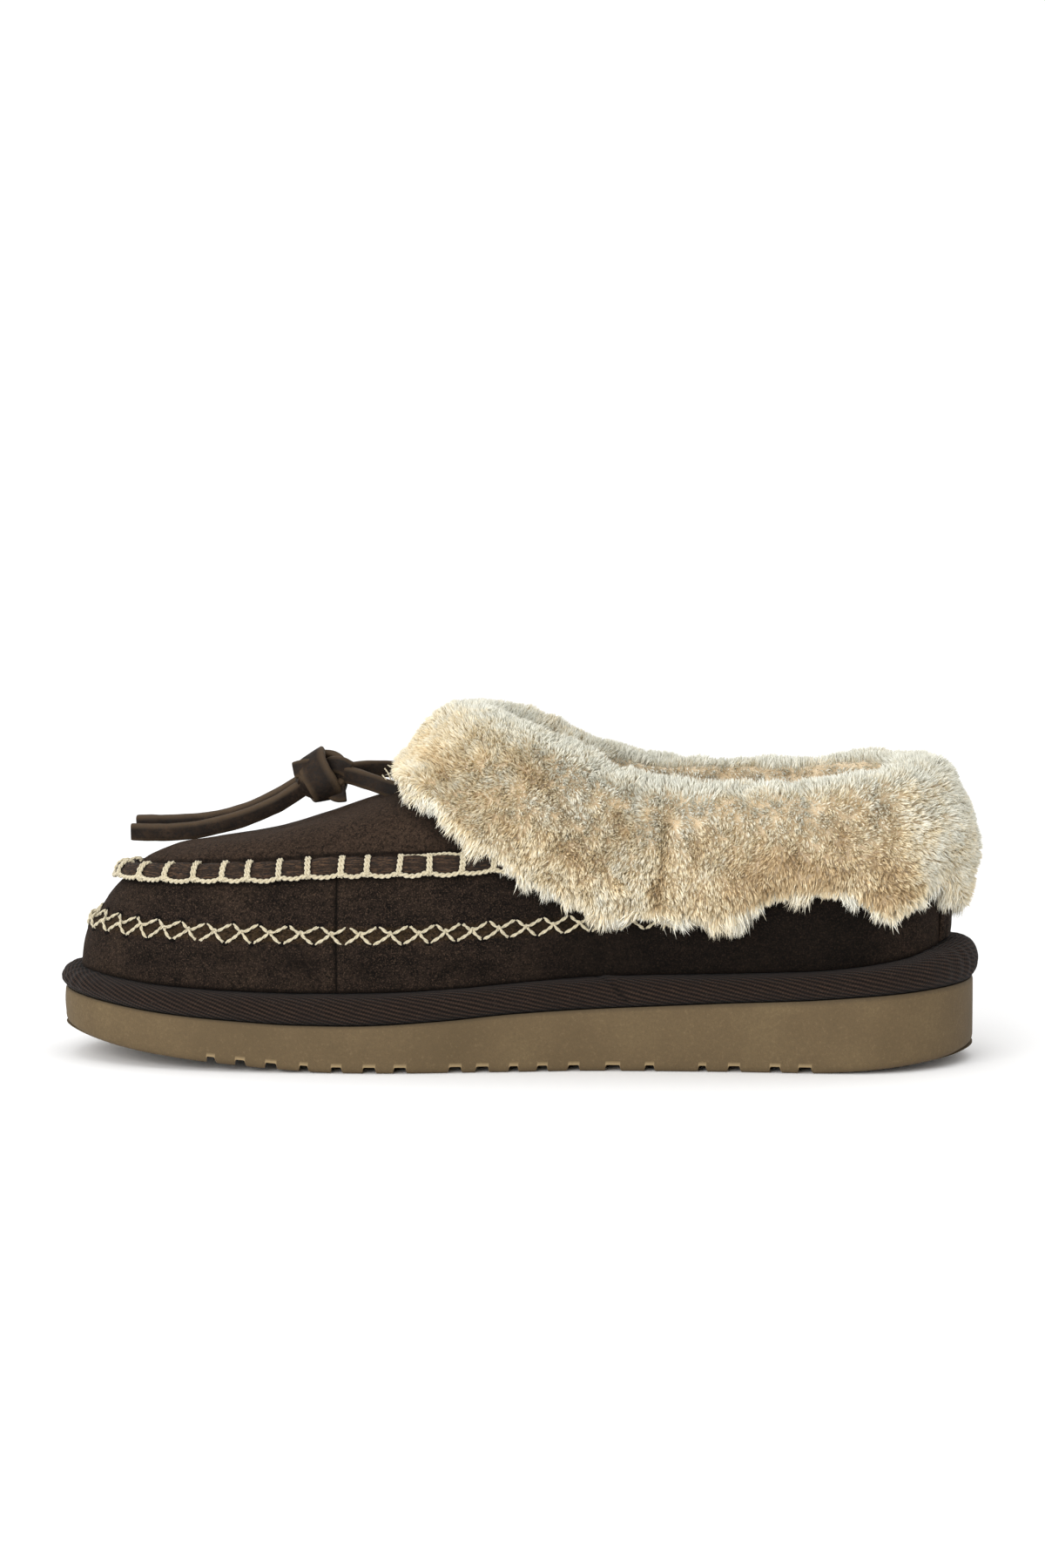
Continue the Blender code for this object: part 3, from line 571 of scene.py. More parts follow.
class Nodes:
    """Short names for the nodes that these materials use."""

    def __init__(self, m):
        self.t = m.node_tree
        self.out = m.node_tree.nodes["Principled BSDF"]

    def new(self, kind, **inputs):
        n = self.t.nodes.new(kind)
        for k, v in inputs.items():
            key = k.replace("_", " ")
            if hasattr(v, "is_output"):
                self.t.links.new(v, n.inputs[key])
            else:
                n.inputs[key].default_value = v
        return n

    def link(self, a, b):
        self.t.links.new(a, b)

    def coord(self, which="Object", scale=(1, 1, 1), turn=(0, 0, 0)):
        c = self.t.nodes.new("ShaderNodeTexCoord")
        m = self.t.nodes.new("ShaderNodeMapping")
        m.inputs["Scale"].default_value = scale
        m.inputs["Rotation"].default_value = turn
        self.link(c.outputs[which], m.inputs["Vector"])
        return m.outputs["Vector"]

    def noise(self, vector, scale, detail=4.0, rough=0.55, distort=0.0):
        n = self.t.nodes.new("ShaderNodeTexNoise")
        self.link(vector, n.inputs["Vector"])
        n.inputs["Scale"].default_value = scale
        n.inputs["Detail"].default_value = detail
        n.inputs["Roughness"].default_value = rough
        n.inputs["Distortion"].default_value = distort
        return n.outputs["Fac"]

    def ramp(self, fac, stops):
        n = self.t.nodes.new("ShaderNodeValToRGB")
        self.link(fac, n.inputs["Fac"])
        e = n.color_ramp.elements
        while len(e) < len(stops):
            e.new(0.5)
        for k, (at, c) in enumerate(stops):
            e[k].position = at
            e[k].color = (*c, 1) if len(c) == 3 else c
        return n.outputs["Color"]

    def grey(self, fac, lo, hi, a=0.0, b=1.0):
        n = self.t.nodes.new("ShaderNodeMapRange")
        self.link(fac, n.inputs["Value"])
        n.inputs["From Min"].default_value = lo
        n.inputs["From Max"].default_value = hi
        n.inputs["To Min"].default_value = a
        n.inputs["To Max"].default_value = b
        return n.outputs["Result"]

    def mix(self, fac, a, b, mode="MIX"):
        n = self.t.nodes.new("ShaderNodeMix")
        n.data_type = "RGBA"
        n.blend_type = mode
        n.clamp_factor = True
        for socket, v in ((n.inputs[0], fac), (n.inputs[6], a), (n.inputs[7], b)):
            if hasattr(v, "is_output"):
                self.link(v, socket)
            elif isinstance(v, tuple):
                socket.default_value = (*v, 1) if len(v) == 3 else v
            else:
                socket.default_value = v
        return n.outputs[2]

    def math(self, op, a, b=0.0):
        n = self.t.nodes.new("ShaderNodeMath")
        n.operation = op
        for k, v in enumerate((a, b)):
            if hasattr(v, "is_output"):
                self.link(v, n.inputs[k])
            else:
                n.inputs[k].default_value = v
        return n.outputs[0]

    def attr(self, name):
        n = self.t.nodes.new("ShaderNodeAttribute")
        n.attribute_name = name
        return n.outputs["Fac"]

    def wave(self, vector, scale, distort=0.0, detail=1.0, profile="SIN", direction="X"):
        n = self.t.nodes.new("ShaderNodeTexWave")
        n.wave_profile = profile
        n.bands_direction = direction
        self.link(vector, n.inputs["Vector"])
        n.inputs["Scale"].default_value = scale
        n.inputs["Distortion"].default_value = distort
        n.inputs["Detail"].default_value = detail
        return n.outputs["Fac"]

    def bump(self, height, distance, strength=1.0, after=None):
        n = self.t.nodes.new("ShaderNodeBump")
        self.link(height, n.inputs["Height"])
        n.inputs["Distance"].default_value = distance
        n.inputs["Strength"].default_value = strength
        if after is not None:
            self.link(after, n.inputs["Normal"])
        return n.outputs["Normal"]

    def colour(self, c):
        self.link(c, self.out.inputs["Base Color"])

    def normal(self, n):
        self.link(n, self.out.inputs["Normal"])

    def roughness(self, r):
        self.link(r, self.out.inputs["Roughness"])


def rgb(r, g, b):
    """Linear colour from 0 to 255 screen values."""
    out = []
    for c in (r, g, b):
        c /= 255.0
        out.append(c / 12.92 if c <= 0.04045 else ((c + 0.055) / 1.055) ** 2.4)
    return tuple(out)


def suede_material(name="suede", leather=False):
    m = principled(name, rgb(32, 25, 21), 0.95, **{"Specular IOR Level": 0.08, "Sheen Weight": 0.07, "Sheen Roughness": 0.5})
    m.node_tree.nodes["Principled BSDF"].inputs["Sheen Tint"].default_value = (*rgb(150, 124, 104), 1)
    n = Nodes(m)
    v = n.coord("Object")
    patch = n.noise(v, 55, 3, 0.6)
    brushed = n.noise(n.coord("Object", (1, 1, 2.2), (0.2, 0.5, 0.3)), 210, 4, 0.65, 0.6)
    nap = n.noise(v, 950, 5, 0.8)
    fine = n.noise(v, 2300, 3, 0.75)
    base = n.ramp(patch, [(0.36, rgb(13, 10, 8)), (0.50, rgb(26, 20, 16)), (0.64, rgb(42, 33, 26))])
    base = n.mix(n.grey(brushed, 0.40, 0.68, 0.0, 0.6), base, rgb(46, 36, 30))
    base = n.mix(n.attr("plug"), base, n.mix(0.45, base, rgb(64, 50, 40)))
    base = n.mix(n.attr("strip"), base, n.mix(0.62, base, rgb(56, 43, 25)))
    base = n.mix(n.grey(nap, 0.40, 0.56, 0.85, 0.0), base, rgb(7, 6, 5))
    base = n.mix(n.grey(fine, 0.52, 0.68, 0.0, 0.7), base, rgb(82, 66, 54))
    # Painted shade from the 'dark' mask, and the darker line along the side seams.
    base = n.mix(n.attr("dark"), base, rgb(5, 4, 3))
    n.colour(base)
    b = n.bump(nap, 0.00032, 0.8)
    b = n.bump(fine, 0.00014, 0.7, b)
    b = n.bump(brushed, 0.0006, 0.45, b)
    n.normal(b)
    return m


def leather_material():
    """Rolled leather of the moccasin seam: the same brown, with lengthwise streaks, partly rubbed leather and partly
    painted highlight on their ridges.
    """
    m = principled("seam_leather", rgb(48, 38, 31), 0.75, **{"Specular IOR Level": 0.2})
    n = Nodes(m)
    uv = n.coord("UV", (0.16, 1.0, 1))
    streak = n.noise(uv, 2.6, 4, 0.6, 0.3)
    fine = n.noise(n.coord("UV", (0.5, 3.5, 1)), 2.2, 4, 0.7)
    grain = n.noise(n.coord("Object"), 1700, 4, 0.7)
    base = n.ramp(streak, [(0.38, rgb(18, 12, 8)), (0.50, rgb(46, 33, 23)), (0.60, rgb(92, 68, 48))])
    base = n.mix(n.grey(fine, 0.42, 0.62, 0.6, 0.0), base, rgb(17, 13, 11))
    base = n.mix(n.grey(grain, 0.5, 0.75, 0.0, 0.35), base, rgb(98, 80, 66))
    # Painted shade from the 'dark' mask: the roll's back, the pinch at each bar and its ends under the cuff.
    base = n.mix(n.attr("dark"), base, rgb(10, 8, 7))
    n.colour(base)
    b = n.bump(streak, 0.0005, 0.7)
    b = n.bump(fine, 0.00025, 0.7, b)
    b = n.bump(grain, 0.0001, 0.6, b)
    n.normal(b)
    return m


def tape_material():
    m = principled("tape", rgb(34, 28, 25), 0.92, **{"Specular IOR Level": 0.1, "Sheen Weight": 0.03, "Sheen Roughness": 0.5})
    n = Nodes(m)
    turn = math.radians(-18)
    twill = n.wave(n.coord("UV", (1, 1, 1), (0, 0, turn)), 0.262, 0.9, 2.0, "SIN", "Y")
    thread = n.wave(n.coord("UV", (1, 1, 1), (0, 0, math.radians(58))), 0.42, 1.6, 2.0, "SIN", "Y")
    mottle = n.noise(n.coord("Object"), 240, 4, 0.65)
    fuzz = n.noise(n.coord("Object"), 2400, 3, 0.7)
    weave = n.math("ADD", n.math("MULTIPLY", twill, 0.7), n.math("MULTIPLY", thread, 0.3))
    base = n.ramp(weave, [(0.15, rgb(12, 8, 6)), (0.5, rgb(30, 22, 18)), (0.85, rgb(54, 41, 33))])
    base = n.mix(n.grey(mottle, 0.38, 0.66, 0.0, 0.45), base, rgb(25, 20, 18), "MIX")
    base = n.mix(n.grey(fuzz, 0.60, 0.78, 0.0, 0.5), base, rgb(92, 82, 74))
    # Painted shade from the 'dark' mask: at the step of the cut end and along the tape's lower and upper edges.
    base = n.mix(n.attr("dark"), base, rgb(7, 6, 5))
    n.colour(base)
    b = n.bump(weave, 0.00042, 0.8)
    b = n.bump(fuzz, 0.00018, 0.6, b)
    n.normal(b)
    return m


def foam_material():
    m = principled("sole_foam", rgb(126, 108, 80), 0.82, **{"Specular IOR Level": 0.3})
    n = Nodes(m)
    v = n.coord("Object")
    cloud = n.noise(v, 38, 3, 0.6)
    speck = n.noise(v, 900, 4, 0.72)
    pores = n.noise(v, 2300, 3, 0.7)
    base = n.ramp(cloud, [(0.32, rgb(83, 68, 45)), (0.52, rgb(91, 75, 51)), (0.70, rgb(99, 83, 57))])
    base = n.mix(n.grey(speck, 0.38, 0.58, 0.42, 0.0), base, rgb(82, 68, 47))
    base = n.mix(n.grey(speck, 0.56, 0.74, 0.0, 0.3), base, rgb(124, 107, 80))
    base = n.mix(n.grey(pores, 0.36, 0.50, 0.35, 0.0), base, rgb(74, 61, 41))
    # Painted shade from the 'dark' mask along the top edge under the tape, and painted light from the 'pale' mask
    # inside the tread grooves.
    base = n.mix(n.attr("dark"), base, rgb(46, 38, 27))
    base = n.mix(n.attr("pale"), base, rgb(190, 166, 124))
    n.colour(base)
    b = n.bump(pores, 0.00012, 0.6)
    b = n.bump(speck, 0.00016, 0.5, b)
    n.normal(b)
    return m


def fleece_material(name, deep, mid, pale, rough=1.0):
    m = principled(name, mid, rough, **{"Specular IOR Level": 0.1, "Sheen Weight": 0.25, "Sheen Roughness": 0.5})
    n = Nodes(m)
    v = n.coord("Object")
    curl = n.noise(v, 330, 4, 0.65, 1.2)
    hair = n.noise(v, 1500, 4, 0.7, 0.8)
    broad = n.noise(v, 70, 3, 0.55)
    # Colour follows the curls' bump: deeper tone in their hollows is painted shade, paler on their tops.
    base = n.ramp(curl, [(0.32, deep), (0.50, mid), (0.66, pale)])
    base = n.mix(n.grey(hair, 0.38, 0.55, 0.45, 0.0), base, deep)
    base = n.mix(n.grey(broad, 0.4, 0.65, 0.0, 0.35), base, pale)
    n.colour(base)
    b = n.bump(curl, 0.0016, 0.9)
    b = n.bump(hair, 0.0004, 0.8, b)
    n.normal(b)
    return m


def yarn_material():
    m = principled("yarn", rgb(214, 205, 178), 0.85, **{"Specular IOR Level": 0.2, "Sheen Weight": 0.2})
    n = Nodes(m)
    v = n.coord("Object")
    fibre = n.noise(v, 2600, 4, 0.7)
    tone = n.noise(v, 160, 2, 0.5)
    base = n.ramp(fibre, [(0.34, rgb(146, 134, 108)), (0.52, rgb(188, 178, 152)), (0.70, rgb(210, 202, 180))])
    base = n.mix(n.grey(tone, 0.35, 0.65, 0.0, 0.3), base, rgb(196, 184, 152))
    n.colour(base)
    n.normal(n.bump(fibre, 0.00012, 0.6))
    return m


def thong_material():
    m = principled("thong", rgb(43, 34, 28), 0.6, **{"Specular IOR Level": 0.18})
    n = Nodes(m)
    v = n.coord("Object")
    grain = n.noise(v, 900, 5, 0.72)
    rub = n.noise(v, 120, 3, 0.6)
    fine = n.noise(v, 3000, 3, 0.7)
    base = n.ramp(rub, [(0.34, rgb(24, 17, 12)), (0.52, rgb(37, 27, 19)), (0.70, rgb(54, 41, 30))])
    base = n.mix(n.grey(grain, 0.40, 0.56, 0.7, 0.0), base, rgb(14, 10, 7))
    base = n.mix(n.attr("edge"), base, n.mix(0.6, base, rgb(84, 68, 50)))
    base = n.mix(n.grey(fine, 0.60, 0.78, 0.0, 0.3), base, rgb(84, 70, 59))
    # Painted shade where a 'dark' mask is given; the thongs carry none.
    base = n.mix(n.attr("dark"), base, rgb(12, 9, 8))
    n.colour(base)
    n.roughness(n.grey(grain, 0.3, 0.7, 0.6, 0.9))
    b = n.bump(grain, 0.00022, 0.7)
    b = n.bump(fine, 0.0001, 0.5, b)
    n.normal(b)
    return m


# ------------------------------------------------------------------ joined small meshes
class Joined:
    """Collects many small shapes into one mesh."""

    def __init__(self):
        self.points, self.quads, self.tris, self.count = [], [], [], 0
        self.qi, self.ti, self.extra = [], [], []

    def add(self, points, quads=(), tris=(), look=0, extra=0.0):
        points = np.asarray(points, float)
        self.points.append(points)
        self.extra.append(np.broadcast_to(extra, (len(points),)))
        if len(quads):
            self.quads.append(np.asarray(quads) + self.count)
            self.qi.append(np.full(len(quads), look))
        if len(tris):
            self.tris.append(np.asarray(tris) + self.count)
            self.ti.append(np.full(len(tris), look))
        self.count += len(points)

    def build(self, name, looks, angle=None, attribute=None):
        groups, index = [], []
        for part, at in ((self.quads, self.qi), (self.tris, self.ti)):
            if part:
                groups.append(np.concatenate(part))
                index.append(np.concatenate(at))
        obj = make_object(name, np.concatenate(self.points), groups, looks, np.concatenate(index), angle=angle)
        if attribute:
            paint(obj, attribute, np.concatenate(self.extra))
        return obj


def tube_faces(rings, sides, closed=False):
    """(quads, cap triangles) of a tube stored ring by ring; the caps need a middle point after the rings."""
    quads = grid_faces(rings, sides, wrap_u=closed, wrap_v=True)
    if closed:
        return quads, []
    a, b = rings * sides, rings * sides + 1
    last = (rings - 1) * sides
    k = np.arange(sides)
    tris = np.concatenate(
        [
            np.stack([np.full(sides, a), (k + 1) % sides, k], 1),
            np.stack([np.full(sides, b), last + k, last + (k + 1) % sides], 1),
        ]
    )
    return quads, tris


def along(path, step):
    """The path at even steps."""
    path = np.asarray(path, float)
    s = np.concatenate([[0], np.cumsum(np.linalg.norm(np.diff(path, axis=0), axis=1))])
    n = max(int(round(s[-1] / step)) + 1, 4)
    t = np.linspace(0, s[-1], n)
    return np.stack([np.interp(t, s, path[:, k]) for k in range(3)], 1), t


def curve_through(points, count):
    """Smooth curve through the points, at count places."""
    p = np.array(points, float)
    p = np.vstack([2 * p[0] - p[1], p, 2 * p[-1] - p[-2]])
    u = np.linspace(0, len(points) - 1, count)
    k = np.minimum(u.astype(int), len(points) - 2)
    t = (u - k)[:, None]
    a, b, c, d = p[k], p[k + 1], p[k + 2], p[k + 3]
    return 0.5 * (2 * b + (c - a) * t + (2 * a - 5 * b + 4 * c - d) * t * t + (3 * b - a - 3 * c + d) * t**3)


def frames(path, normal):
    """(tangent, side, up) along a path; normal is one vector or one for each point."""
    t = unit(np.gradient(path, axis=0))
    n = np.broadcast_to(np.asarray(normal, float), path.shape)
    n = unit(n - t * (t * n).sum(1, keepdims=True))
    return t, np.cross(t, n), n


def yarn(into, path, normal, radius, plies=2, twist=3.4, step=0.5, sides=6, phase=0.0, look=0, taper=0.0):
    """Twisted thread of several plies; twist is the length in millimetres of one turn."""
    p, s = along(path, step)
    if np.ndim(normal) == 2:
        q, _ = along(path, step)
        src = np.linspace(0, 1, len(normal))
        dst = np.linspace(0, 1, len(p))
        normal = np.stack([np.interp(dst, src, normal[:, k]) for k in range(3)], 1)
    _, b, n = frames(p, normal)
    ends = np.ones(len(p))
    if taper:
        u = np.minimum(s, s[-1] - s) / taper
        ends = 0.55 + 0.45 * np.clip(u, 0, 1)
    ply = radius * (1.0 if plies == 1 else 0.60)
    off = 0.0 if plies == 1 else radius * 0.46
    ang = np.arange(sides) * 2 * math.pi / sides
    for k in range(plies):
        turn = phase + 2 * math.pi * (s / twist + k / plies)
        c = p + (b * np.cos(turn)[:, None] + n * np.sin(turn)[:, None]) * off * ends[:, None]
        ring = c[:, None] + (b[:, None] * np.cos(ang)[None, :, None] + n[:, None] * np.sin(ang)[None, :, None]) * (ply * ends)[:, None, None]
        pts = np.concatenate([ring.reshape(-1, 3), c[:1], c[-1:]])
        quads, tris = tube_faces(len(p), sides)
        into.add(pts, quads, tris, look)


def band(into, path, up, wide, thick, step=0.7, look=0, power=4.0, twist=None, rough=0.0, seed=5, cut=0.0):
    """Leather thong: a rounded rectangle, wide along up, swept along the path. Returns nothing."""
    p, s = along(path, step)
    if np.ndim(up) == 2:
        src, dst = np.linspace(0, 1, len(up)), np.linspace(0, 1, len(p))
        up = np.stack([np.interp(dst, src, up[:, k]) for k in range(3)], 1)
    t, b, n = frames(p, up)
    if twist is not None:
        a = np.radians(np.interp(s / s[-1], [r[0] for r in twist], [r[1] for r in twist]))[:, None]
        b, n = b * np.cos(a) + n * np.sin(a), n * np.cos(a) - b * np.sin(a)
    m = 20
    a = (np.arange(m) + 0.5) * 2 * math.pi / m
    c, q = np.cos(a), np.sin(a)
    r = (np.abs(c) ** power + np.abs(q) ** power) ** (-1 / power)
    cx, cy = c * r * thick / 2, q * r * wide / 2
    if rough:
        shape = (noise(p[:, None] + np.stack([cx, cy, 0 * cx], 1)[None] * 1.0, 2.6, seed) - 0.5) * rough
    else:
        shape = np.zeros((len(p), m))
    k = 1 + shape / (wide / 2)
    ring = p[:, None] + b[:, None] * (cx * k)[:, :, None] + n[:, None] * (cy * k)[:, :, None]
    if cut:
        for end, sgn in ((0, 1), (-1, -1)):
            ring[end] = p[end] + (ring[end] - p[end]) * (1 - cut) 
    pts = np.concatenate([ring.reshape(-1, 3), p[:1], p[-1:]])
    quads, tris = tube_faces(len(p), m)
    # Cut edges, at the top and bottom of the section, are paler than the faces.
    edge = np.clip((np.abs(cy) / (wide / 2) - 0.72) / 0.2, 0, 1)
    extra = np.concatenate([np.tile(edge, len(p)), [0.6, 0.6]])
    into.add(pts, quads, tris, look, extra)


# ------------------------------------------------------------------ seams as curves
def signed_arc(row_curve):
    """Arc length along a closed curve from the toe, below 0 on the inner side and above 0 on the outer side."""
    step = np.linalg.norm(np.diff(row_curve, axis=0), axis=1)
    s = np.concatenate([[0], np.cumsum(step)])
    return s - s[NC // 2]


ROW_AT = {r: int(np.argmin(np.abs(T_ROWS - ROW[r]))) for r in ROW}
STITCH_CURVE = (UP[:, ROW_AT["band_edge"]] + UP[:, ROW_AT["band_step"]]) / 2
S_STITCH = signed_arc(STITCH_CURVE)
_n = unit(UN[:, ROW_AT["seam"]] * 0.35 + UN[:, ROW_AT["seam_low"]] * 0.65)
_t = unit(np.roll(UP[:, ROW_AT["seam"]], -1, 0) - np.roll(UP[:, ROW_AT["seam"]], 1, 0))
_v = unit(np.cross(_t, _n))
_v = _v * np.where(_v[:, 2:3] > 0, 1.0, -1.0)
_q = UP[:, ROW_AT["seam"]] * 0.55 + UP[:, ROW_AT["seam_low"]] * 0.45
ROLL_C = _q + _n * (ROLL_OUT / 2 + GAP + 0.2)
ROLL_N, ROLL_V = _n, _v
S_ROLL = signed_arc(ROLL_C)
CUFF_WIDTH = smooth(CUFF, 1, FOLDED)
CLEAR = ARC_TOP - ARC_SEAM - CUFF_WIDTH


def roll_frame(s):
    s = np.atleast_1d(s)
    c, n, v = (np.stack([np.interp(s, S_ROLL, a[:, k]) for k in range(3)], 1) for a in (ROLL_C, ROLL_N, ROLL_V))
    return c, unit(n), unit(v)


def skin_rows(s):
    """Point and normal of every column at arc length s (one for each column) up from the foot."""
    p, n = np.empty((NC, 3)), np.empty((NC, 3))
    for i in range(NC):
        for k in range(3):
            p[i, k] = np.interp(s[i], US[i], UP[i, :, k])
            n[i, k] = np.interp(s[i], US[i], UN[i, :, k])
    return p, unit(n)


def gauss(x, width):
    return np.exp(-((x / width) ** 2))


# Soft troughs pressed into the upper: x, z, reach along, reach up, depth, and the same for ridges below zero.
BAND_TROUGHS = [
    (-61.0, 31.0, 9.0, 3.6, 0.75),
    (-43.0, 29.5, 5.0, 3.0, 0.45),
    (-84.0, 33.0, 8.0, 3.0, 0.35),
    (-12.0, 30.0, 12.0, 3.4, 0.50),
    (22.0, 33.5, 10.0, 3.6, 0.45),
    (48.0, 35.5, 9.0, 3.4, 0.55),
    (74.0, 36.5, 12.0, 3.6, 0.40),
    (-106.0, 31.5, 8.0, 2.8, 0.30),
]
PLUG_TROUGHS = [
    (-74.0, -8.0, 16.0, 9.0, 0.7),
    (-98.0, 6.0, 12.0, 12.0, 0.5),
    (-52.0, -24.0, 10.0, 7.0, 0.6),
    (-86.0, 24.0, 14.0, 7.0, 0.5),
    (-62.0, 14.0, 9.0, 10.0, -0.5),
]


def skin_relief():
    """Relief of the upper's outer face in mm along its normal, and the masks that its material reads."""
    x, y, z = UP[..., 0], UP[..., 1], UP[..., 2]
    s = US
    above = s - ARC_SEAM[:, None]
    low_wall = s < ARC_SEAM[:, None]
    plug = ease(0.5, 2.5, above)
    stitch_z = side(5, FOOT[:, 0])[:, None]
    lip = gauss(s - ARC_STITCH[:, None], 2.2)

    h = (noise(UP, 24, 3) - 0.5) * 1.5 * plug + (noise(UP, 15, 4) - 0.5) * 0.7 * (1 - plug)
    h += (noise(UP, 6, 5) - 0.5) * 0.30 + (noise(UP, 2.4, 6) - 0.5) * 0.12

    # Side seams, where the front of the wall meets its back.
    seam_line = x - SIDE_SEAM_X
    near = np.where(low_wall, 1.0, 0.0) * ease(0.2, 1.2, s) * (1 - ease(-1.0, 0.5, above))
    h -= 0.55 * gauss(seam_line, 0.55) * near
    h += 0.22 * gauss(np.abs(seam_line) - 2.4, 1.5) * near
    dark = gauss(seam_line, 0.42) * near * 0.95

    # The band's lip dips at each crossing stitch and swells between them.
    for c in CROSSES:
        d = np.abs(S_STITCH)[:, None] - c
        h -= 0.30 * gauss(d, 1.7) * lip
        h += 0.16 * gauss(np.abs(d) - 4.0, 1.6) * lip
    # The plug is drawn in at each bar over the roll.
    edge = gauss(above - 3.6, 2.0)
    for c in BARS:
        d = np.abs(S_ROLL)[:, None] - c
        h -= 0.42 * gauss(d, 1.5) * edge
    for cx, cz, rx, rz, depth in BAND_TROUGHS:
        h -= depth * gauss(x - cx, rx) * gauss(z - cz, rz) * (1 - plug)
    for cx, cy, rx, ry, depth in PLUG_TROUGHS:
        h -= depth * gauss(x - cx, rx) * gauss(y - cy, ry) * plug

    # Painted shade: above and below the roll, at the foot, in the troughs, under the fur and a few millimetres below
    # its edge, and over the heel half of the wall below the seam, less at the very heel; the shade under the lip is
    # weighted to nothing.
    under = gauss(z - (stitch_z - 0.9), 0.5) * 0.0
    dark = np.maximum(dark, under)
    dark = np.maximum(dark, 0.85 * gauss(above - 2.6, 0.9) * (np.abs(CLEAR)[:, None] > -1))
    dark = np.maximum(dark, 0.80 * gauss(above + 5.4, 0.8))
    dark = np.maximum(dark, 0.75 * gauss(s - 0.1, 0.7))
    patch = np.zeros_like(x)
    for cx, cz, rx, rz, depth in BAND_TROUGHS:
        patch = np.maximum(patch, min(0.55, abs(depth)) * gauss(x - cx, rx * 0.8) * gauss(z - cz, rz * 0.9))
    dark = np.maximum(dark, patch * (1 - plug) * (0.6 + 0.8 * noise(UP, 7, 9)))
    down = (ARC_TOP - CUFF_WIDTH)[:, None] - s
    dark = np.maximum(dark, 0.80 * (1 - ease(-1.0, 8.0, down)))
    dark = np.maximum(dark, 0.68 * ease(-20, 30, x) * (1 - plug) * (1 - 0.75 * ease(100, 116, x)))
    strip = (1 - ease(1.7, 2.5, np.abs(z - stitch_z - 0.3))) * (1 - ease(40, 56, x))
    return h, np.clip(dark, 0, 1), plug, strip


def eased(grid, rounds=2):
    g = grid.copy()
    for _ in range(rounds):
        g[:, 1:-1] = 0.25 * g[:, :-2] + 0.5 * g[:, 1:-1] + 0.25 * g[:, 2:]
    return g


EASED_CTRL = eased(CTRL, 3)


def inner_face(depth, count):
    """Rows of the upper's inner side at a depth below the skin, from the foot up."""
    t = np.linspace(0, len(ROW) - 1, count)
    g = resample(EASED_CTRL, t)
    n = normals(g)
    p = g - n * depth
    flat = n[:, 0].copy()
    flat[:, 2] = 0
    flat = unit(flat)
    p[:, 0] = UP[:, 0] - flat * depth
    p[:, 0, 2] = UP[:, 0, 2]
    return p


def make_upper(suede, fleece):
    h, dark, plug, strip = skin_relief()
    h[:, 0] *= 0.3
    outer = UP + UN * h[..., None]
    inner = inner_face(SKIN, 13)
    grid = np.concatenate([outer, inner[:, ::-1]], 1)
    nr = grid.shape[1]
    obj = make_object("upper_suede", grid.reshape(-1, 3), grid_faces(NC, nr, True, True, flip=FLIP), suede)
    pad = np.zeros((NC, inner.shape[1]))
    # The 'dark' mask carries painted shade; the inner face of the skin is painted half in shade.
    paint(obj, "dark", np.concatenate([dark, pad + 0.5], 1))
    paint(obj, "plug", np.concatenate([plug, pad], 1))
    paint(obj, "strip", np.concatenate([strip, pad], 1))
    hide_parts("upper")

    keep = np.arange(0, NC, 2)
    back = inner_face(SKIN + 0.05, 13)[keep]
    front = inner_face(WALL, 34)
    n = normals(front)
    front = front - n * ((noise(front, 3.2, 11) - 0.5) * 1.1 + (noise(front, 9, 12) - 0.5) * 0.8)[..., None]
    front[:, 0, 2] = np.maximum(front[:, 0, 2], UP[:, 0, 2])
    grid = np.concatenate([back, front[keep][:, ::-1]], 1)
    obj = make_object("upper_lining", grid.reshape(-1, 3), grid_faces(len(keep), grid.shape[1], True, True, flip=FLIP), fleece)
    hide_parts("upper")


# ------------------------------------------------------------------ sole, tape and footbed
def outline_at(x):
    """(inner y, outer y) of the sole outline at x."""
    x = np.asarray(x, float)
    close = rounding(x - SOLE_TOE_X, TOE_ROUND, TOE_POWER) * rounding(SOLE_HEEL_X - x, HEEL_ROUND, HEEL_POWER)
    mid = smooth(SOLE_PLAN, 1, x)
    return mid - smooth(SOLE_PLAN, 2, x) * close, mid + smooth(SOLE_PLAN, 3, x) * close


ZIG_Y = [-64.0, -34.0, -12.0, 12.0, 34.0, 64.0]
ZIG_X = [1.6, -1.6, 1.6, -1.6, 1.6, -1.6]


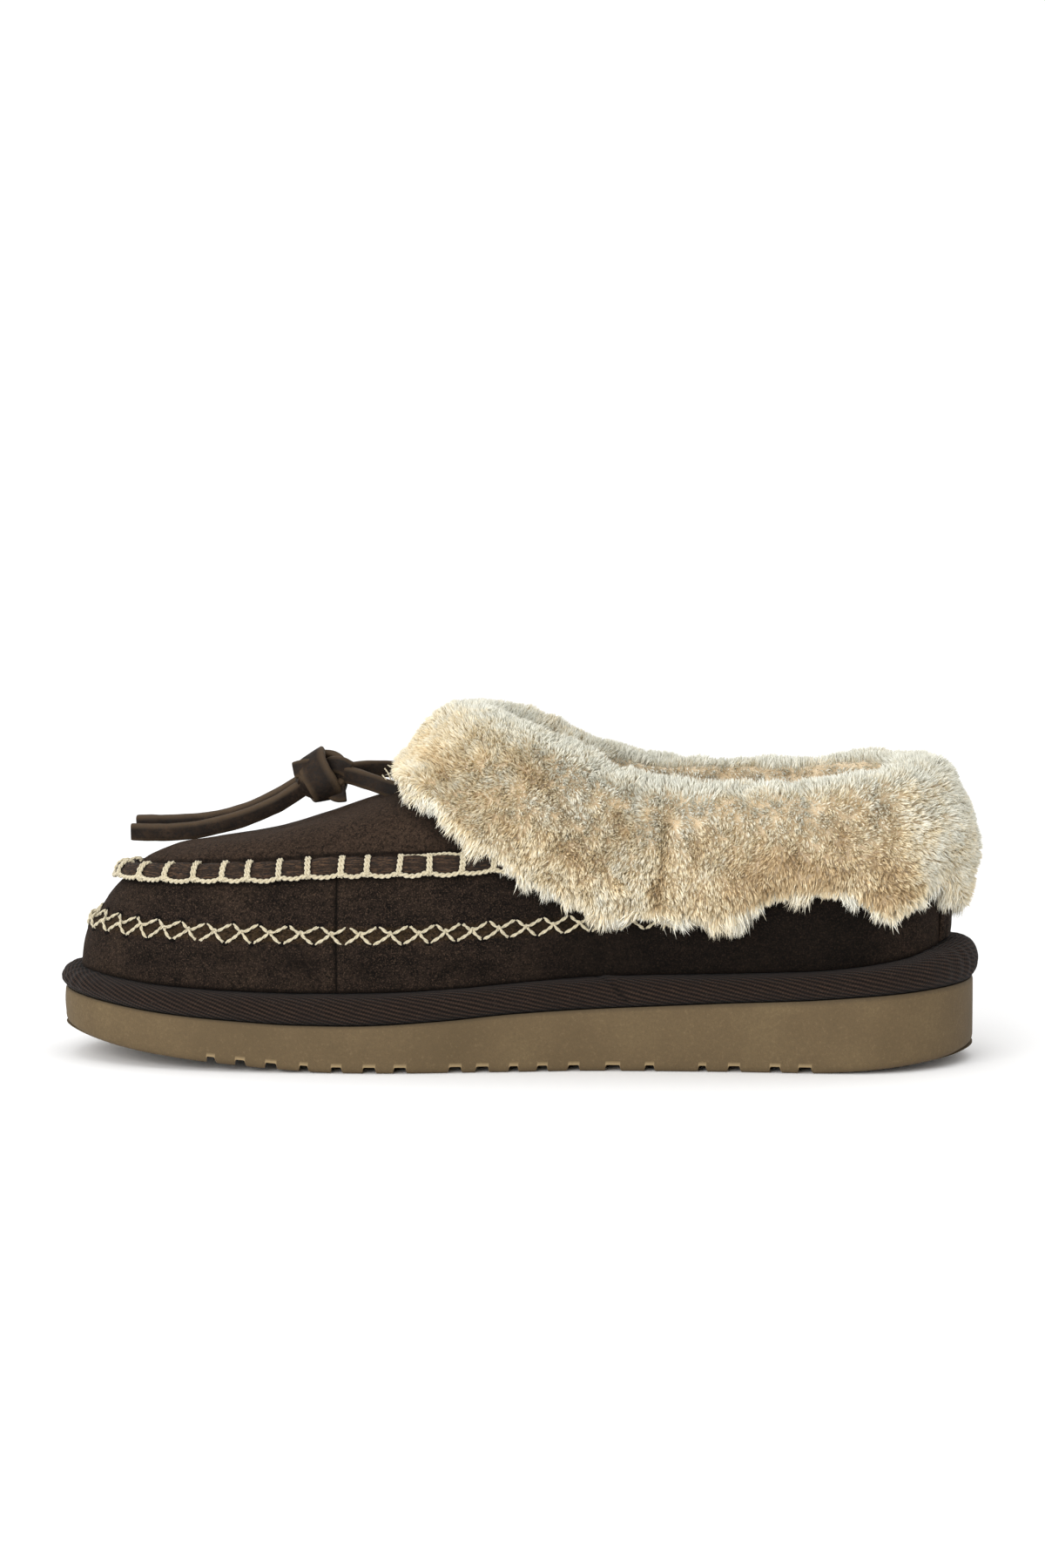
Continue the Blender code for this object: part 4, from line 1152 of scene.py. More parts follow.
def make_sole(foam):
    """Foam wedge: stations along the shoe, with extra ones at both edges of each tread groove."""
    stations, lift, amp_at = [], [], []
    for k, (gx, width) in enumerate(GROOVES):
        for d, r in ((-0.55, 0.0), (-0.2, 0.12), (0.05, 0.55), (0.28, 1.75), (0.5, 2.0)):
            stations += [gx - width / 2 + d, gx + width / 2 - d]
            lift += [r * GROOVE_DEPTH / 2.0] * 2
        stations.append(gx)
        lift.append(GROOVE_DEPTH)
        amp_at.append((gx, 1.0 if k % 2 == 0 else 0.8))
    x0, x1 = SOLE_TOE_X, SOLE_HEEL_X
    u = np.linspace(0, math.pi, 420)
    free = (x0 + x1) / 2 - (x1 - x0) / 2 * np.cos(u)
    taken = np.array(stations)
    for x in free:
        if all(abs(x - gx) > width / 2 + 0.75 for gx, width in GROOVES):
            stations.append(x)
            lift.append(0.0)
    order = np.argsort(stations)
    st, lift = np.array(stations)[order], np.array(lift)[order]
    st[0], st[-1] = x0, x1
    amp = np.interp(st, [x0, -95] + [a for a, _ in amp_at] + [93, x1], [0, 1] + [b for _, b in amp_at] + [1, 0])
    ns = len(st)
    # Height rows of the wall above the underside, with the inset of each.
    rows = [(0.0, 2.0), (0.18, 1.35), (0.5, 0.85), (1.0, 0.42), (1.6, 0.16), (2.3, 0.03), (3.2, 0.0)]
    nv = 30

    def wall(sign):
        """Points (ns, rows, 3) up the wall on one side."""
        x = st.copy()
        for _ in range(12):
            y = outline_at(x)[0 if sign < 0 else 1]
            x = np.clip(st + amp * np.interp(y, ZIG_Y, ZIG_X), x0, x1)
        y = outline_at(x)[0 if sign < 0 else 1]
        curve = np.stack([x, y], 1)
        tan = np.gradient(curve, axis=0)
        tan[0], tan[-1] = (0, -1 if sign < 0 else 1), (0, 1 if sign < 0 else -1)
        nrm = unit(np.stack([tan[:, 1], -tan[:, 0]], 1)) * (1 if sign < 0 else -1)
        nrm[0], nrm[-1] = (-1, 0), (1, 0)
        low, high = side(1, x), side(2, x)
        out = []
        heights = rows + [(None, q) for q in np.linspace(0.12, 1.0, 12)]
        for k, (h, inset) in enumerate(heights):
            if h is None:
                z = low + 3.2 + (high - low - 3.2) * inset
                ins = np.where(inset > 0.97, 0.35, 0.0) * np.ones(ns)
                bow = 0.25 * math.sin(math.pi * inset)
                ins = ins - bow
            else:
                # In a groove the rows below its roof gather just under it, at the inset of that height.
                hh = np.maximum(h, lift + 0.015 * k)
                ins = np.interp(hh, [r[0] for r in rows], [r[1] for r in rows])
                z = low + hh
            q = curve - nrm * np.asarray(ins).reshape(-1, 1)
            q = np.clip(q, [x0 + 0.001, -200], [x1 - 0.001, 200])
            out.append(np.column_stack([q, z]))
        return np.stack(out, 1)

    a, b = wall(-1), wall(1)
    # The tip stations of both walls share their line.
    for end in (0, -1):
        mid = (a[end] + b[end]) / 2
        a[end], b[end] = mid, mid
    nw = a.shape[1]
    # Underside from the inner to the outer bottom edge.
    v = np.linspace(0, 1, nv + 2)[1:-1]
    ya, yb = a[:, 0, 1], b[:, 0, 1]
    under = np.empty((ns, nv, 3))
    for k, t in enumerate(v):
        y = ya + (yb - ya) * t
        shift = amp * (np.interp(y, ZIG_Y, ZIG_X))
        e0 = a[:, 0, 0] - st - amp * np.interp(ya, ZIG_Y, ZIG_X)
        x = np.clip(st + shift + e0 * 0, x0 + 0.05, x1 - 0.05)
        under[:, k] = np.column_stack([x, y, side(1, x) + lift + 0.0])
    under[0], under[-1] = a[0, 0], a[-1, 0]
    # One ring at each station: up the inner wall, across the top, down the outer wall, back under.
    ring = np.concatenate([a, b[:, ::-1], under[:, ::-1]], 1)
    ring[..., 2] += (noise(ring * [1, 1, 0], 18, 21) - 0.5)[...] * 0.0
    m = ring.shape[1]
    body = ring[1:-1]
    quads = grid_faces(ns - 2, m, wrap_u=False, wrap_v=True)
    pts = [body.reshape(-1, 3)]
    base = (ns - 2) * m
    # Toe and heel tips: a line of wall points, to which the first and last rings close.
    tris, more = [], []
    for end, at in ((0, 0), (-1, ns - 3)):
        line = a[end]
        start = base + (0 if end == 0 else nw)
        pts.append(line)
        r = at * m
        for k in range(nw - 1):
            more.append((start + k, start + k + 1, r + k + 1, r + k))
            more.append((start + k + 1, start + k, r + 2 * nw - 1 - k, r + 2 * nw - 2 - k))
        tris.append((start + nw - 1, r + nw, r + nw - 1))
        prev = r + nw * 2 - 1
        for k in list(range(2 * nw, m)) + [0]:
            tris.append((start, r + k, prev))
            prev = r + k
        if end == -1:
            more[-2 * (nw - 1):] = [q[::-1] for q in more[-2 * (nw - 1):]]
            tris[-(nv + 2):] = [q[::-1] for q in tris[-(nv + 2):]]
    points = np.concatenate(pts)
    obj = make_object("sole_foam", points, [np.concatenate([quads, np.array(more)]), np.array(tris)], foam, angle=50)
    # Painted light inside the tread grooves ('pale') and painted shade along the top edge, under the tape's overhang
    # ('dark').
    groove = np.zeros(len(points))
    inside = np.repeat((lift > 0.6)[1:-1], m)
    zz = points[: len(inside), 2] - side(1, points[: len(inside), 0])
    groove[: len(inside)] = np.where(inside & (zz < GROOVE_DEPTH + 0.35), 1.0, 0.0)
    top = np.abs(points[:, 2] - side(2, points[:, 0])) < 0.5
    paint(obj, "pale", groove * 0.35)
    paint(obj, "dark", np.where(top, 0.55, 0.0))
    outward_check(obj)
    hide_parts("outsole")


def outward_check(obj):
    """Turns a closed mesh's faces so that they look outward."""
    import bmesh

    bm = bmesh.new()
    bm.from_mesh(obj.data)
    if bm.calc_volume(signed=True) < 0:
        bmesh.ops.reverse_faces(bm, faces=bm.faces)
        bm.to_mesh(obj.data)
    bm.free()


TAPE_JOIN_X = 31.0


def make_tape(tape):
    """Footbed board with the twill tape wrapped round its edge."""
    xs, xf = SOLE[:, 0], FOOT[:, 0]
    low, foot = side(2, xs) + GAP, side(3, xf)
    high = foot - low
    foot_out = outward(FOOT)

    def level(curve, n, inset, z):
        return np.column_stack([curve - n * inset, np.broadcast_to(z, len(curve))])

    ctrl = np.stack(
        [
            level(SOLE, SOLE_OUT, 2.4, low),
            level(SOLE, SOLE_OUT, 0.4, low + 0.1),
            level(SOLE, SOLE_OUT, -0.75, low + 0.14 * high + 0.3),
            level(SOLE, SOLE_OUT, -1.30, low + 0.36 * high),
            level(SOLE, SOLE_OUT, -0.95, low + 0.62 * high),
            level(SOLE, SOLE_OUT, 0.85, low + 0.88 * high),
            level(FOOT, foot_out, -1.0, foot - 0.05),
            level(FOOT, foot_out, 0.4, foot + 0.05),
            level(FOOT, foot_out, 3.0, foot),
        ],
        1,
    )
    t = np.unique(np.concatenate([np.linspace(0, 1, 3), np.linspace(1, 6, 30), np.linspace(6, 8, 6)]))
    grid = resample(ctrl, t)
    n = normals(grid)
    n = np.where((n * np.concatenate([SOLE_OUT, np.zeros((NC, 1))], 1)[:, None]).sum(2, keepdims=True) < -0.3, -n, n)
    arc = np.concatenate([[0], np.cumsum(np.linalg.norm(np.diff(SOLE, axis=0), axis=1))])
    total = arc[-1] + np.linalg.norm(SOLE[0] - SOLE[-1])
    prof = np.concatenate([np.zeros((NC, 1)), np.cumsum(np.linalg.norm(np.diff(grid, axis=1), axis=2), axis=1)], 1)
    inner = SIGN < 0
    join = np.interp(TAPE_JOIN_X, SOLE[inner][::-1, 0], arc[inner][::-1])
    u = (arc[:, None] - join) * np.ones_like(prof)
    # The overlapping end of the tape is cut on a slant; it stands a little proud on the heel side of the cut.
    slant = u - (prof - 7.0) * 0.75
    face = ease(1.0, 2.5, t)[None] * (1 - ease(6.6, 7.6, t))[None]
    h = (noise(grid, 11, 31) - 0.5) * 0.55 + (noise(grid, 4.5, 32) - 0.5) * 0.22
    near = np.abs(slant) < 12
    h = h + np.where(near & (slant < 0), 0.42 * ease(-12, -0.0, slant) * 1.0, 0.0)
    h = h - 0.25 * gauss(slant - 0.5, 0.7)
    # Small gathers where the tape turns round the toe and the heel.
    turn = np.clip(ease(-118, -133, xs) + ease(116, 131, xs), 0, 1)[:, None]
    h = h + turn * 0.22 * np.sin(arc[:, None] * 2 * math.pi / 5.3 + 2.0 * noise(grid, 9, 33))
    grid = grid + n * (h * face)[..., None]
    nr = grid.shape[1]
    pts = grid.reshape(-1, 3)
    quads = grid_faces(NC, nr, True, False, flip=FLIP)
    bottom, top = np.arange(NC) * nr, np.arange(NC) * nr + nr - 1
    q1, t1 = across_faces(bottom, flip=not FLIP)
    q2, t2 = across_faces(top, flip=FLIP)
    obj = make_object("midsole_tape", pts, [np.concatenate([quads, q1, q2]), np.concatenate([t1, t2])], tape)
    uv = np.stack([np.where(u < -total / 2, u + total, u) % total, prof], 2).reshape(-1, 2)
    lay_uv(obj, uv, total)
    # Painted shade at the step of the overlapping cut end and along the lower and upper edges, where the tape meets the
    # sole and the upper.
    dark = 0.8 * gauss(slant - 0.35, 0.5) * face + 0.75 * (1 - ease(1.15, 1.9, t))[None] + 0.7 * ease(6.0, 6.7, t)[None]
    paint(obj, "dark", np.clip(dark, 0, 1))
    outward_check(obj)
    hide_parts("midsole")


def make_insole(fleece):
    keep = np.arange(0, NC, 2)
    xf = FOOT[:, 0]
    foot, seat = side(3, xf), side(4, xf)
    foot_out = outward(FOOT)
    rows = []
    for inset, z in (
        (WALL + 4.9, seat + GAP),
        (WALL + 1.6, foot + 1.2),
        (WALL + 1.4, foot + 3.4),
        (WALL + 2.6, foot + 5.4),
        (WALL + 6.0, seat + 6.3),
        (WALL + 12.0, seat + 6.5),
    ):
        rows.append(np.column_stack([FOOT - foot_out * inset, z]))
    ctrl = np.stack(rows, 1)[keep]
    edge = resample(ctrl, np.linspace(0, 5, 14))
    n = len(keep)
    pts = [edge.reshape(-1, 3)]
    nr = edge.shape[1]
    quads = [grid_faces(n, nr, True, False, flip=FLIP)]
    q1, t1 = across_faces(np.arange(n) * nr, flip=not FLIP)
    # The top is a grid across, from each inner column to its outer one.
    h, cross = n // 2, 34
    a, b = edge[1:h, -1], edge[:h:-1, -1]
    v = np.linspace(0, 1, cross + 2)[1:-1]
    mid = a[:, None] * (1 - v[None, :, None]) + b[:, None] * v[None, :, None]
    mid[..., 2] += (noise(mid, 7, 41) - 0.5) * 0.9 + (noise(mid, 2.6, 42) - 0.5) * 0.7
    base = n * nr
    pts.append(mid.reshape(-1, 3))
    index = np.concatenate(
        [
            (np.arange(1, h) * nr + nr - 1)[:, None],
            base + np.arange((h - 1) * cross).reshape(h - 1, cross),
            (np.arange(n - 1, h, -1) * nr + nr - 1)[:, None],
        ],
        1,
    )
    q = np.stack([index[:-1, :-1], index[1:, :-1], index[1:, 1:], index[:-1, 1:]], -1).reshape(-1, 4)
    tris = [t1]
    for tip, row in ((nr - 1, index[0]), (h * nr + nr - 1, index[-1])):
        f = np.stack([np.full(len(row) - 1, tip), row[:-1], row[1:]], 1)
        tris.append(f[:, ::-1] if (tip == nr - 1) == FLIP else f)
    quads.append(q if not FLIP else q[:, ::-1])
    quads.append(q1)
    obj = make_object("insole_fleece", np.concatenate(pts), [np.concatenate(quads), np.concatenate(tris)], fleece)
    tidy(obj)
    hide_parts("insole")


def tidy(obj):
    """Makes the faces of a closed mesh agree and look outward."""
    import bmesh

    bm = bmesh.new()
    bm.from_mesh(obj.data)
    bmesh.ops.recalc_face_normals(bm, faces=bm.faces)
    bm.to_mesh(obj.data)
    bm.free()


# ------------------------------------------------------------------ moccasin seam, stitches, heel strip
ROLL_END = {}
for _side, _sel in (("inner", slice(0, NC // 2 + 1)), ("outer", slice(NC // 2, NC))):
    _s, _c = S_ROLL[_sel], CLEAR[_sel]
    ROLL_END[_side] = float(_s[_c > 0].min() if _side == "inner" else _s[_c > 0].max())


def make_roll(leather):
    """Gathered roll of leather over the moccasin seam, from under the cuff on one side to the other."""
    s = np.arange(ROLL_END["inner"] - 15, ROLL_END["outer"] + 15, 0.8)
    c, n, v = roll_frame(s)
    m = 20
    a = np.arange(m) * 2 * math.pi / m
    pinch = np.zeros(len(s))
    for bar in BARS:
        pinch = np.maximum(pinch, gauss(np.abs(s) - bar, 1.9))
    swell = 1.10 - 0.24 * pinch
    wob = (noise(np.stack([s, 0 * s, 0 * s], 1), 7.5, 51) - 0.5) * 0.5
    ridge = np.empty((len(s), m))
    for k in range(m):
        q = np.stack([s * 0.22, np.full(len(s), math.cos(a[k]) * 2.2), np.full(len(s), math.sin(a[k]) * 4.4)], 1)
        ridge[:, k] = (noise(q, 0.85, 52) - 0.5) * 0.55 + (noise(q * [2.5, 1, 1], 0.45, 53) - 0.5) * 0.25
    rn = (ROLL_THICK / 2 * swell)[:, None] + ridge * 1.2
    rv = (ROLL_HIGH / 2 * (1.06 - 0.18 * pinch))[:, None] + ridge * 0.6
    ends = np.minimum(np.minimum(s - s[0], s[-1] - s) / 3.0, 1.0)
    taper = np.sqrt(np.clip(1 - (1 - ends) ** 2, 0.02, 1))[:, None]
    ring = (
        (c + v * wob[:, None])[:, None]
        + n[:, None] * (rn * taper * np.cos(a)[None])[..., None]
        + v[:, None] * (rv * taper * np.sin(a)[None])[..., None]
    )
    pts = np.concatenate([ring.reshape(-1, 3), c[:1], c[-1:]])
    quads, tris = tube_faces(len(s), m)
    obj = make_object("moc_roll", pts, [quads, tris], leather)
    girth = np.concatenate([[0], np.cumsum(np.linalg.norm(np.diff(ring[len(s) // 2], axis=0), axis=1))])
    uv = np.stack(np.broadcast_arrays(s[:, None], girth[None]), 2).reshape(-1, 2)
    lay_uv(obj, np.concatenate([uv, uv[:1], uv[-1:]]))
    # Painted shade: on the roll's back against the upper, at the pinch of each bar, and towards both ends under the
    # cuff.
    back = np.clip(-np.cos(a), 0, 1)[None] * 0.9
    dark = np.maximum(back * np.ones((len(s), 1)), 0.5 * gauss(pinch[:, None] - 1, 0.5))
    under_fur = np.clip(1 - ease(0, 6, np.minimum(s - ROLL_END["inner"], ROLL_END["outer"] - s)), 0, 1)[:, None] * 0.5
    paint(obj, "dark", np.concatenate([np.maximum(dark, under_fur).ravel(), [1, 1]]))
    tidy(obj)
    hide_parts("moc_seam_roll")


def make_seam_stitches(thread):
    """Blanket stitch over the roll: a bar at each place and a running thread along the lower edge."""
    j = Joined()
    rng = np.random.default_rng(61)
    a0, a1 = np.radians(128), np.radians(-97)
    ang = np.linspace(a0, a1, 26)
    for sgn in (-1, 1):
        for k, bar in enumerate(BARS):
            if sgn > 0 and k == 0:
                continue
            s = sgn * bar
            if not ROLL_END["inner"] - 8 < s < ROLL_END["outer"] + 8:
                continue
            lean = sgn * (0.55 + 0.35 * rng.standard_normal()) + 0.0
            swing = np.cos(np.linspace(-0.2, math.pi * 0.55, len(ang))) * lean
            c, n, v = roll_frame(s + swing)
            rn, rv = ROLL_THICK / 2 * 0.92 + 0.60, ROLL_HIGH / 2 * 0.90 + 0.50
            path = c + n * (rn * np.cos(ang))[:, None] + v * (rv * np.sin(ang))[:, None]
            out = unit(n * np.cos(ang)[:, None] / rn + v * np.sin(ang)[:, None] / rv)
            t = unit(np.gradient(path, axis=0))
            across_dir = np.cross(t, out)
            gap = 0.40 + 0.05 * rng.standard_normal()
            for w in (-gap, gap):
                yarn(j, path + across_dir * w, out, 0.56, 2, 2.9, 0.42, 6, rng.uniform(0, 6), taper=0.0)
    # Lower running thread.
    s = np.arange(ROLL_END["inner"] - 10, ROLL_END["outer"] + 10, 0.6)
    c, n, v = roll_frame(s)
    sag = np.zeros(len(s))
    for bar in BARS:
        sag = np.maximum(sag, gauss(np.abs(s) - bar, 2.0))
    wave = (noise(np.stack([s, 0 * s, 0 * s], 1), 5.0, 62) - 0.5) * 0.5
    path = c + n * (0.55 + 0.35 * sag)[:, None] - v * (ROLL_HIGH / 2 * 1.06 + 0.40 - 0.72 * sag + wave)[:, None]
    yarn(j, path, n, 0.74, 2, 3.6, 0.55, 6)
    # Upper running thread, only towards the cuff.
    for sgn, end in ((-1, ROLL_END["inner"]), (1, ROLL_END["outer"])):
        s = np.linspace(sgn * 101.9, end + sgn * 8, 90)
        c, n, v = roll_frame(s)
        wave = (noise(np.stack([s, 0 * s, 0 * s], 1), 4.0, 63) - 0.5) * 0.6
        path = c - n * 0.15 + v * (ROLL_HIGH / 2 + 0.25 + wave)[:, None]
        yarn(j, path, n, 0.52, 2, 3.0, 0.6, 6)
    obj = j.build("moc_stitches", [thread])


def skin_point(s, up):
    """Point and normal of the skin at arc s along the crossed seam, up mm higher than the seam."""
    col = float(np.interp(s, S_STITCH, np.arange(NC)))
    i = int(round(col)) % NC
    z = float(side(5, FOOT[i, 0])) + 0.4 + up
    last = ROW_AT["seam"]
    return on_skin(col, float(np.interp(z, UP[i, :last, 2], US[i, :last])))


def make_cross_stitches(thread, hole):
    j = Joined()
    holes = Joined()
    rng = np.random.default_rng(71)
    places = [-c for c in CROSSES[::-1]] + [0.0] + list(CROSSES)
    for k, s in enumerate(places):
        before = s - places[k - 1] if k else 8.0
        after = places[k + 1] - s if k + 1 < len(places) else 8.0
        left, right = before / 2 - 0.15, after / 2 - 0.15
        tall = 2.65 + 0.12 * rng.standard_normal()
        tilt = 0.25 * rng.standard_normal()
        ends = (((-left, -tall + tilt * 0.3), (right, tall)), ((-left, tall + tilt * 0.2), (right, -tall)))
        over = 1 if rng.random() < 0.62 else 0
        for leg, (e0, e1) in enumerate(ends):
            p0, n0 = skin_point(s + e0[0], e0[1])
            p1, n1 = skin_point(s + e1[0], e1[1])
            t = np.linspace(0, 1, 15)
            path = p0[None] * (1 - t[:, None]) + p1[None] * t[:, None]
            nor = []
            for i, u in enumerate(t):
                q, m = skin_point(s + e0[0] * (1 - u) + e1[0] * u, e0[1] * (1 - u) + e1[1] * u)
                lift = 0.48 + (0.62 if leg == over else 0.0) * gauss(u - 0.5, 0.17)
                need = lift - float((path[i] - q) @ m)
                if need > 0:
                    path[i] += m * need
                nor.append(m)
            nor = np.array(nor)
            dip = np.array([-1.1, -0.35, 0, 0, 0, 0, 0, 0, 0, 0, 0, 0, 0, -0.35, -1.1])
            path = path + nor * dip[:, None]
            yarn(j, path, nor, 0.47, 2, 4.6, 0.42, 6, rng.uniform(0, 6))
            # A dark cup at each end of a leg, where the thread goes in: painted shade in the stitch hole.
            for q, m in ((p0, n0), (p1, n1)):
                tan = unit(np.cross(m, [0, 0, 1.0]))
                up = np.cross(tan, m)
                r = 0.82
                ring = [q + m * 0.10 + (tan * math.cos(b) * r * 1.15 + up * math.sin(b) * r) for b in np.arange(10) * math.pi / 5]
                low = [q - m * 0.5 + (tan * math.cos(b) + up * math.sin(b)) * r * 0.8 for b in np.arange(10) * math.pi / 5]
                pts = np.concatenate([ring, low, [q + m * 0.16, q - m * 0.5]])
                i = np.arange(10)
                quads = np.stack([i, i + 10, (i + 1) % 10 + 10, (i + 1) % 10], 1)
                tris = np.concatenate(
                    [np.stack([np.full(10, 20), i, (i + 1) % 10], 1), np.stack([np.full(10, 21), (i + 1) % 10 + 10, i + 10], 1)]
                )
                holes.add(pts, quads, tris)
    obj = j.build("cross_stitches", [thread])
    obj = holes.build("stitch_holes", [hole])


def make_heel_strip(suede):
    """Folded strip over the back seam."""
    lo, hi = -22.5 / 2 * 0.99, 22.5 / 2 * 0.99
    cols = np.linspace(lo, hi, 41)
    nr = 44
    outer, inner = [], []
    half = HALF_ANGLES
    for a in cols:
        col = float(np.interp(abs(a), half, np.arange(len(half))))
        if a > 0:
            col = -col
        col = col % NC
        f = abs(a) / hi
        i = int(round(col)) % NC
        top = ARC_TOP[i] - float(smooth(CUFF, 1, abs(a))) + 5.0
        s = np.linspace(0.7, top, nr)
        rim = math.sqrt(max(0.0, 1 - f**8))
        po, pi = [], []
        for k, d in enumerate(s):
            q, m = on_skin(col, d)
            e = min(k, nr - 1 - k)
            r = rim * (0.55 if e == 0 else 0.85 if e == 1 else 1.0)
            bump = (noise(q[None], 5.0, 81)[0] - 0.5) * 0.35 - 0.45 * math.exp(-(((abs(a) - hi * 0.82) / 0.7) ** 2))
            po.append(q + m * (0.15 + (1.55 + bump) * r))
            pi.append(q + m * 0.12)
        outer.append(po)
        inner.append(pi)
    grid = np.concatenate([np.array(outer), np.array(inner)[:, ::-1]], 1)
    m = grid.shape[1]
    pts = grid.reshape(-1, 3)
    quads = [grid_faces(len(cols), m, False, True)]
    for base in (0, (len(cols) - 1) * m):
        k = np.arange(m // 2 - 1)
        quads.append(np.stack([base + k, base + k + 1, base + m - 2 - k, base + m - 1 - k], 1))
    obj = make_object("heel_strip_suede", pts, np.concatenate(quads), suede)
    # Painted shade in the two grooves near the strip's edges.
    f = np.abs(cols) / hi
    line = np.exp(-(((f - 0.82) / 0.05) ** 2))[:, None] * np.ones((1, m))
    paint(obj, "dark", np.clip(line * 0.7, 0, 1))
    paint(obj, "plug", np.zeros(len(pts)))
    paint(obj, "strip", np.zeros(len(pts)))
    tidy(obj)
    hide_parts("heel_strip")


# ------------------------------------------------------------------ sheepskin cuff
def cuff_envelope():
    """Surface of the pile, as points[column, control row], from under the lower edge over the fold to the lining."""
    width, thick, fold = (smooth(CUFF, c, FOLDED) for c in (1, 2, 3))
    width = width - FRINGE
    fold = fold + 5.6 * gauss(TOP[:, 0] - 9, 23) * (1 - ease(138, 170, FOLDED)) * (SIGN < 0) + 2.4 * ease(132, 160, FOLDED)
    top, n = skin_rows(ARC_TOP)
    below, _ = skin_rows(ARC_TOP - 3.0)
    up = unit(top - below)
    n = unit(n - up * (n * up).sum(1, keepdims=True))
    rim = top - UN[:, -1] * WALL
    front = ease(60, 120, FOLDED)
    rows = []
    q, m = skin_rows(ARC_TOP - width)
    rows.append(q + m * 1.0)
    q, m = skin_rows(ARC_TOP - width - 1.4)
    rows.append(q + m * (CUFF_PROFILE[0][1] * thick)[:, None])
    for share_h, part_h, share_t, part_t in CUFF_PROFILE[1:]:
        q, m = skin_rows(ARC_TOP - width * (1 - share_h + (share_h - share_t) * front))
        rows.append(q + m * (thick * (part_h + (part_t - part_h) * front))[:, None])
    middle = (top + rim) / 2
    crest = CUFF_PROFILE[-1][1] + (CUFF_PROFILE[-1][3] - CUFF_PROFILE[-1][1]) * front
    reach = ((top + n * (thick * crest)[:, None] - middle) * n).sum(1)
    back = WALL / 2 + 1.2
    for turn in (38, 76, 114, 150):
        c, s = math.cos(math.radians(turn)), math.sin(math.radians(turn))
        rows.append(middle + n * (np.broadcast_to(reach if c > 0 else back, NC) * c)[:, None] + up * (fold * s)[:, None])
    rows.append(rim + up * 0.6 - n * 0.9)
    lower = inner_face(WALL, 40)[:, -4]
    rows.append(lower - unit(n) * 0.3)
    return np.stack(rows, 1), up, n


CUFF_ROWS = 46
FRINGE = 2.4  # how far the wisps reach below the body of the pile
EDGE_ROW = 1.0  # control row at the lower edge's outermost point


def calm(values, rounds):
    """Averages each column with its neighbours, so that crowded columns don't fold over each other."""
    for _ in range(rounds):
        values = (np.roll(values, 1, 0) + 2 * values + np.roll(values, -1, 0)) / 4
    return values


def cuff_surface():
    ctrl, up, n = cuff_envelope()
    ctrl = calm(ctrl, 24)
    t = np.linspace(0, ctrl.shape[1] - 1, CUFF_ROWS)
    grid = resample(ctrl, t)
    nrm = normals(grid)
    centre = grid[:, 10:30].mean(1, keepdims=True)
    # The normals look away from the fold's middle on both of its sides.
    mid = (ctrl[:, 5] + ctrl[:, 9]) / 2
    flip = (nrm[:, CUFF_ROWS // 2] * (grid[:, CUFF_ROWS // 2] - mid)).sum(1) < 0
    nrm = unit(calm(np.where(flip[:, None, None], -nrm, nrm), 12))
    return ctrl, t, grid, nrm


def arcs_of(curve):
    return np.concatenate([[0], np.cumsum(np.linalg.norm(np.diff(curve, axis=0), axis=1))])


# Creases in the pile, drawn on the inner side: x, z at both ends, half width, depth.
FUR_CREASES = [
    (45.5, 80.5, 41.0, 42.0, 2.4, 3.0),
    (62.0, 47.5, 80.0, 50.6, 2.2, 1.1),
    (80.0, 50.6, 98.0, 51.2, 2.0, 1.2),
    (98.0, 51.2, 118.0, 54.2, 2.2, 1.3),
    (56.0, 71.0, 51.0, 60.0, 2.0, 0.9),
    (94.0, 75.0, 95.5, 66.0, 1.8, 1.1),
    (72.0, 64.0, 88.0, 60.0, 2.6, 0.8),
    (104.0, 62.0, 112.0, 58.0, 2.4, 0.7),
    (8.0, 71.0, 20.0, 60.0, 2.6, 0.9),
    (-6.0, 76.0, 4.0, 66.0, 2.8, 0.8),
    (-22.0, 74.0, -12.0, 68.0, 2.4, 0.7),
    (22.0, 66.0, 30.0, 54.0, 2.6, 0.9),
    (30.0, 78.0, 36.0, 66.0, 2.4, 0.7),
    (-28.0, 92.0, -16.0, 86.0, 3.0, 0.6),
    (0.0, 90.0, 12.0, 82.0, 3.0, 0.7),
    (30.0, 50.0, 40.0, 44.0, 2.4, 0.7),
]


def crease(p):
    """How deep in a crease each point of the pile is, from 0 to about 1, used as painted shade, and how many
    millimetres it sinks.
    """
    x, z = p[..., 0], p[..., 2]
    wob = (noise(p, 5.0, 91) - 0.5) * 3.0
    shade, sink = np.zeros(x.shape), np.zeros(x.shape)
    for x0, z0, x1, z1, wide, deep in FUR_CREASES:
        dx, dz = x1 - x0, z1 - z0
        ll = dx * dx + dz * dz
        u = np.clip(((x - x0) * dx + (z - z0) * dz) / ll, 0, 1)
        d = np.hypot(x - x0 - u * dx + wob * 0.5, z - z0 - u * dz + wob * 0.5)
        g = np.exp(-((d / wide) ** 2)) * (0.4 + 0.6 * np.sin(math.pi * np.clip(u * 0.96 + 0.02, 0, 1)))
        g = np.where(p[..., 1] < 20, g, g * 0.0)
        shade = np.maximum(shade, g * min(1.0, 0.55 + 0.25 * deep))
        sink = np.maximum(sink, g * deep)
    return shade, sink


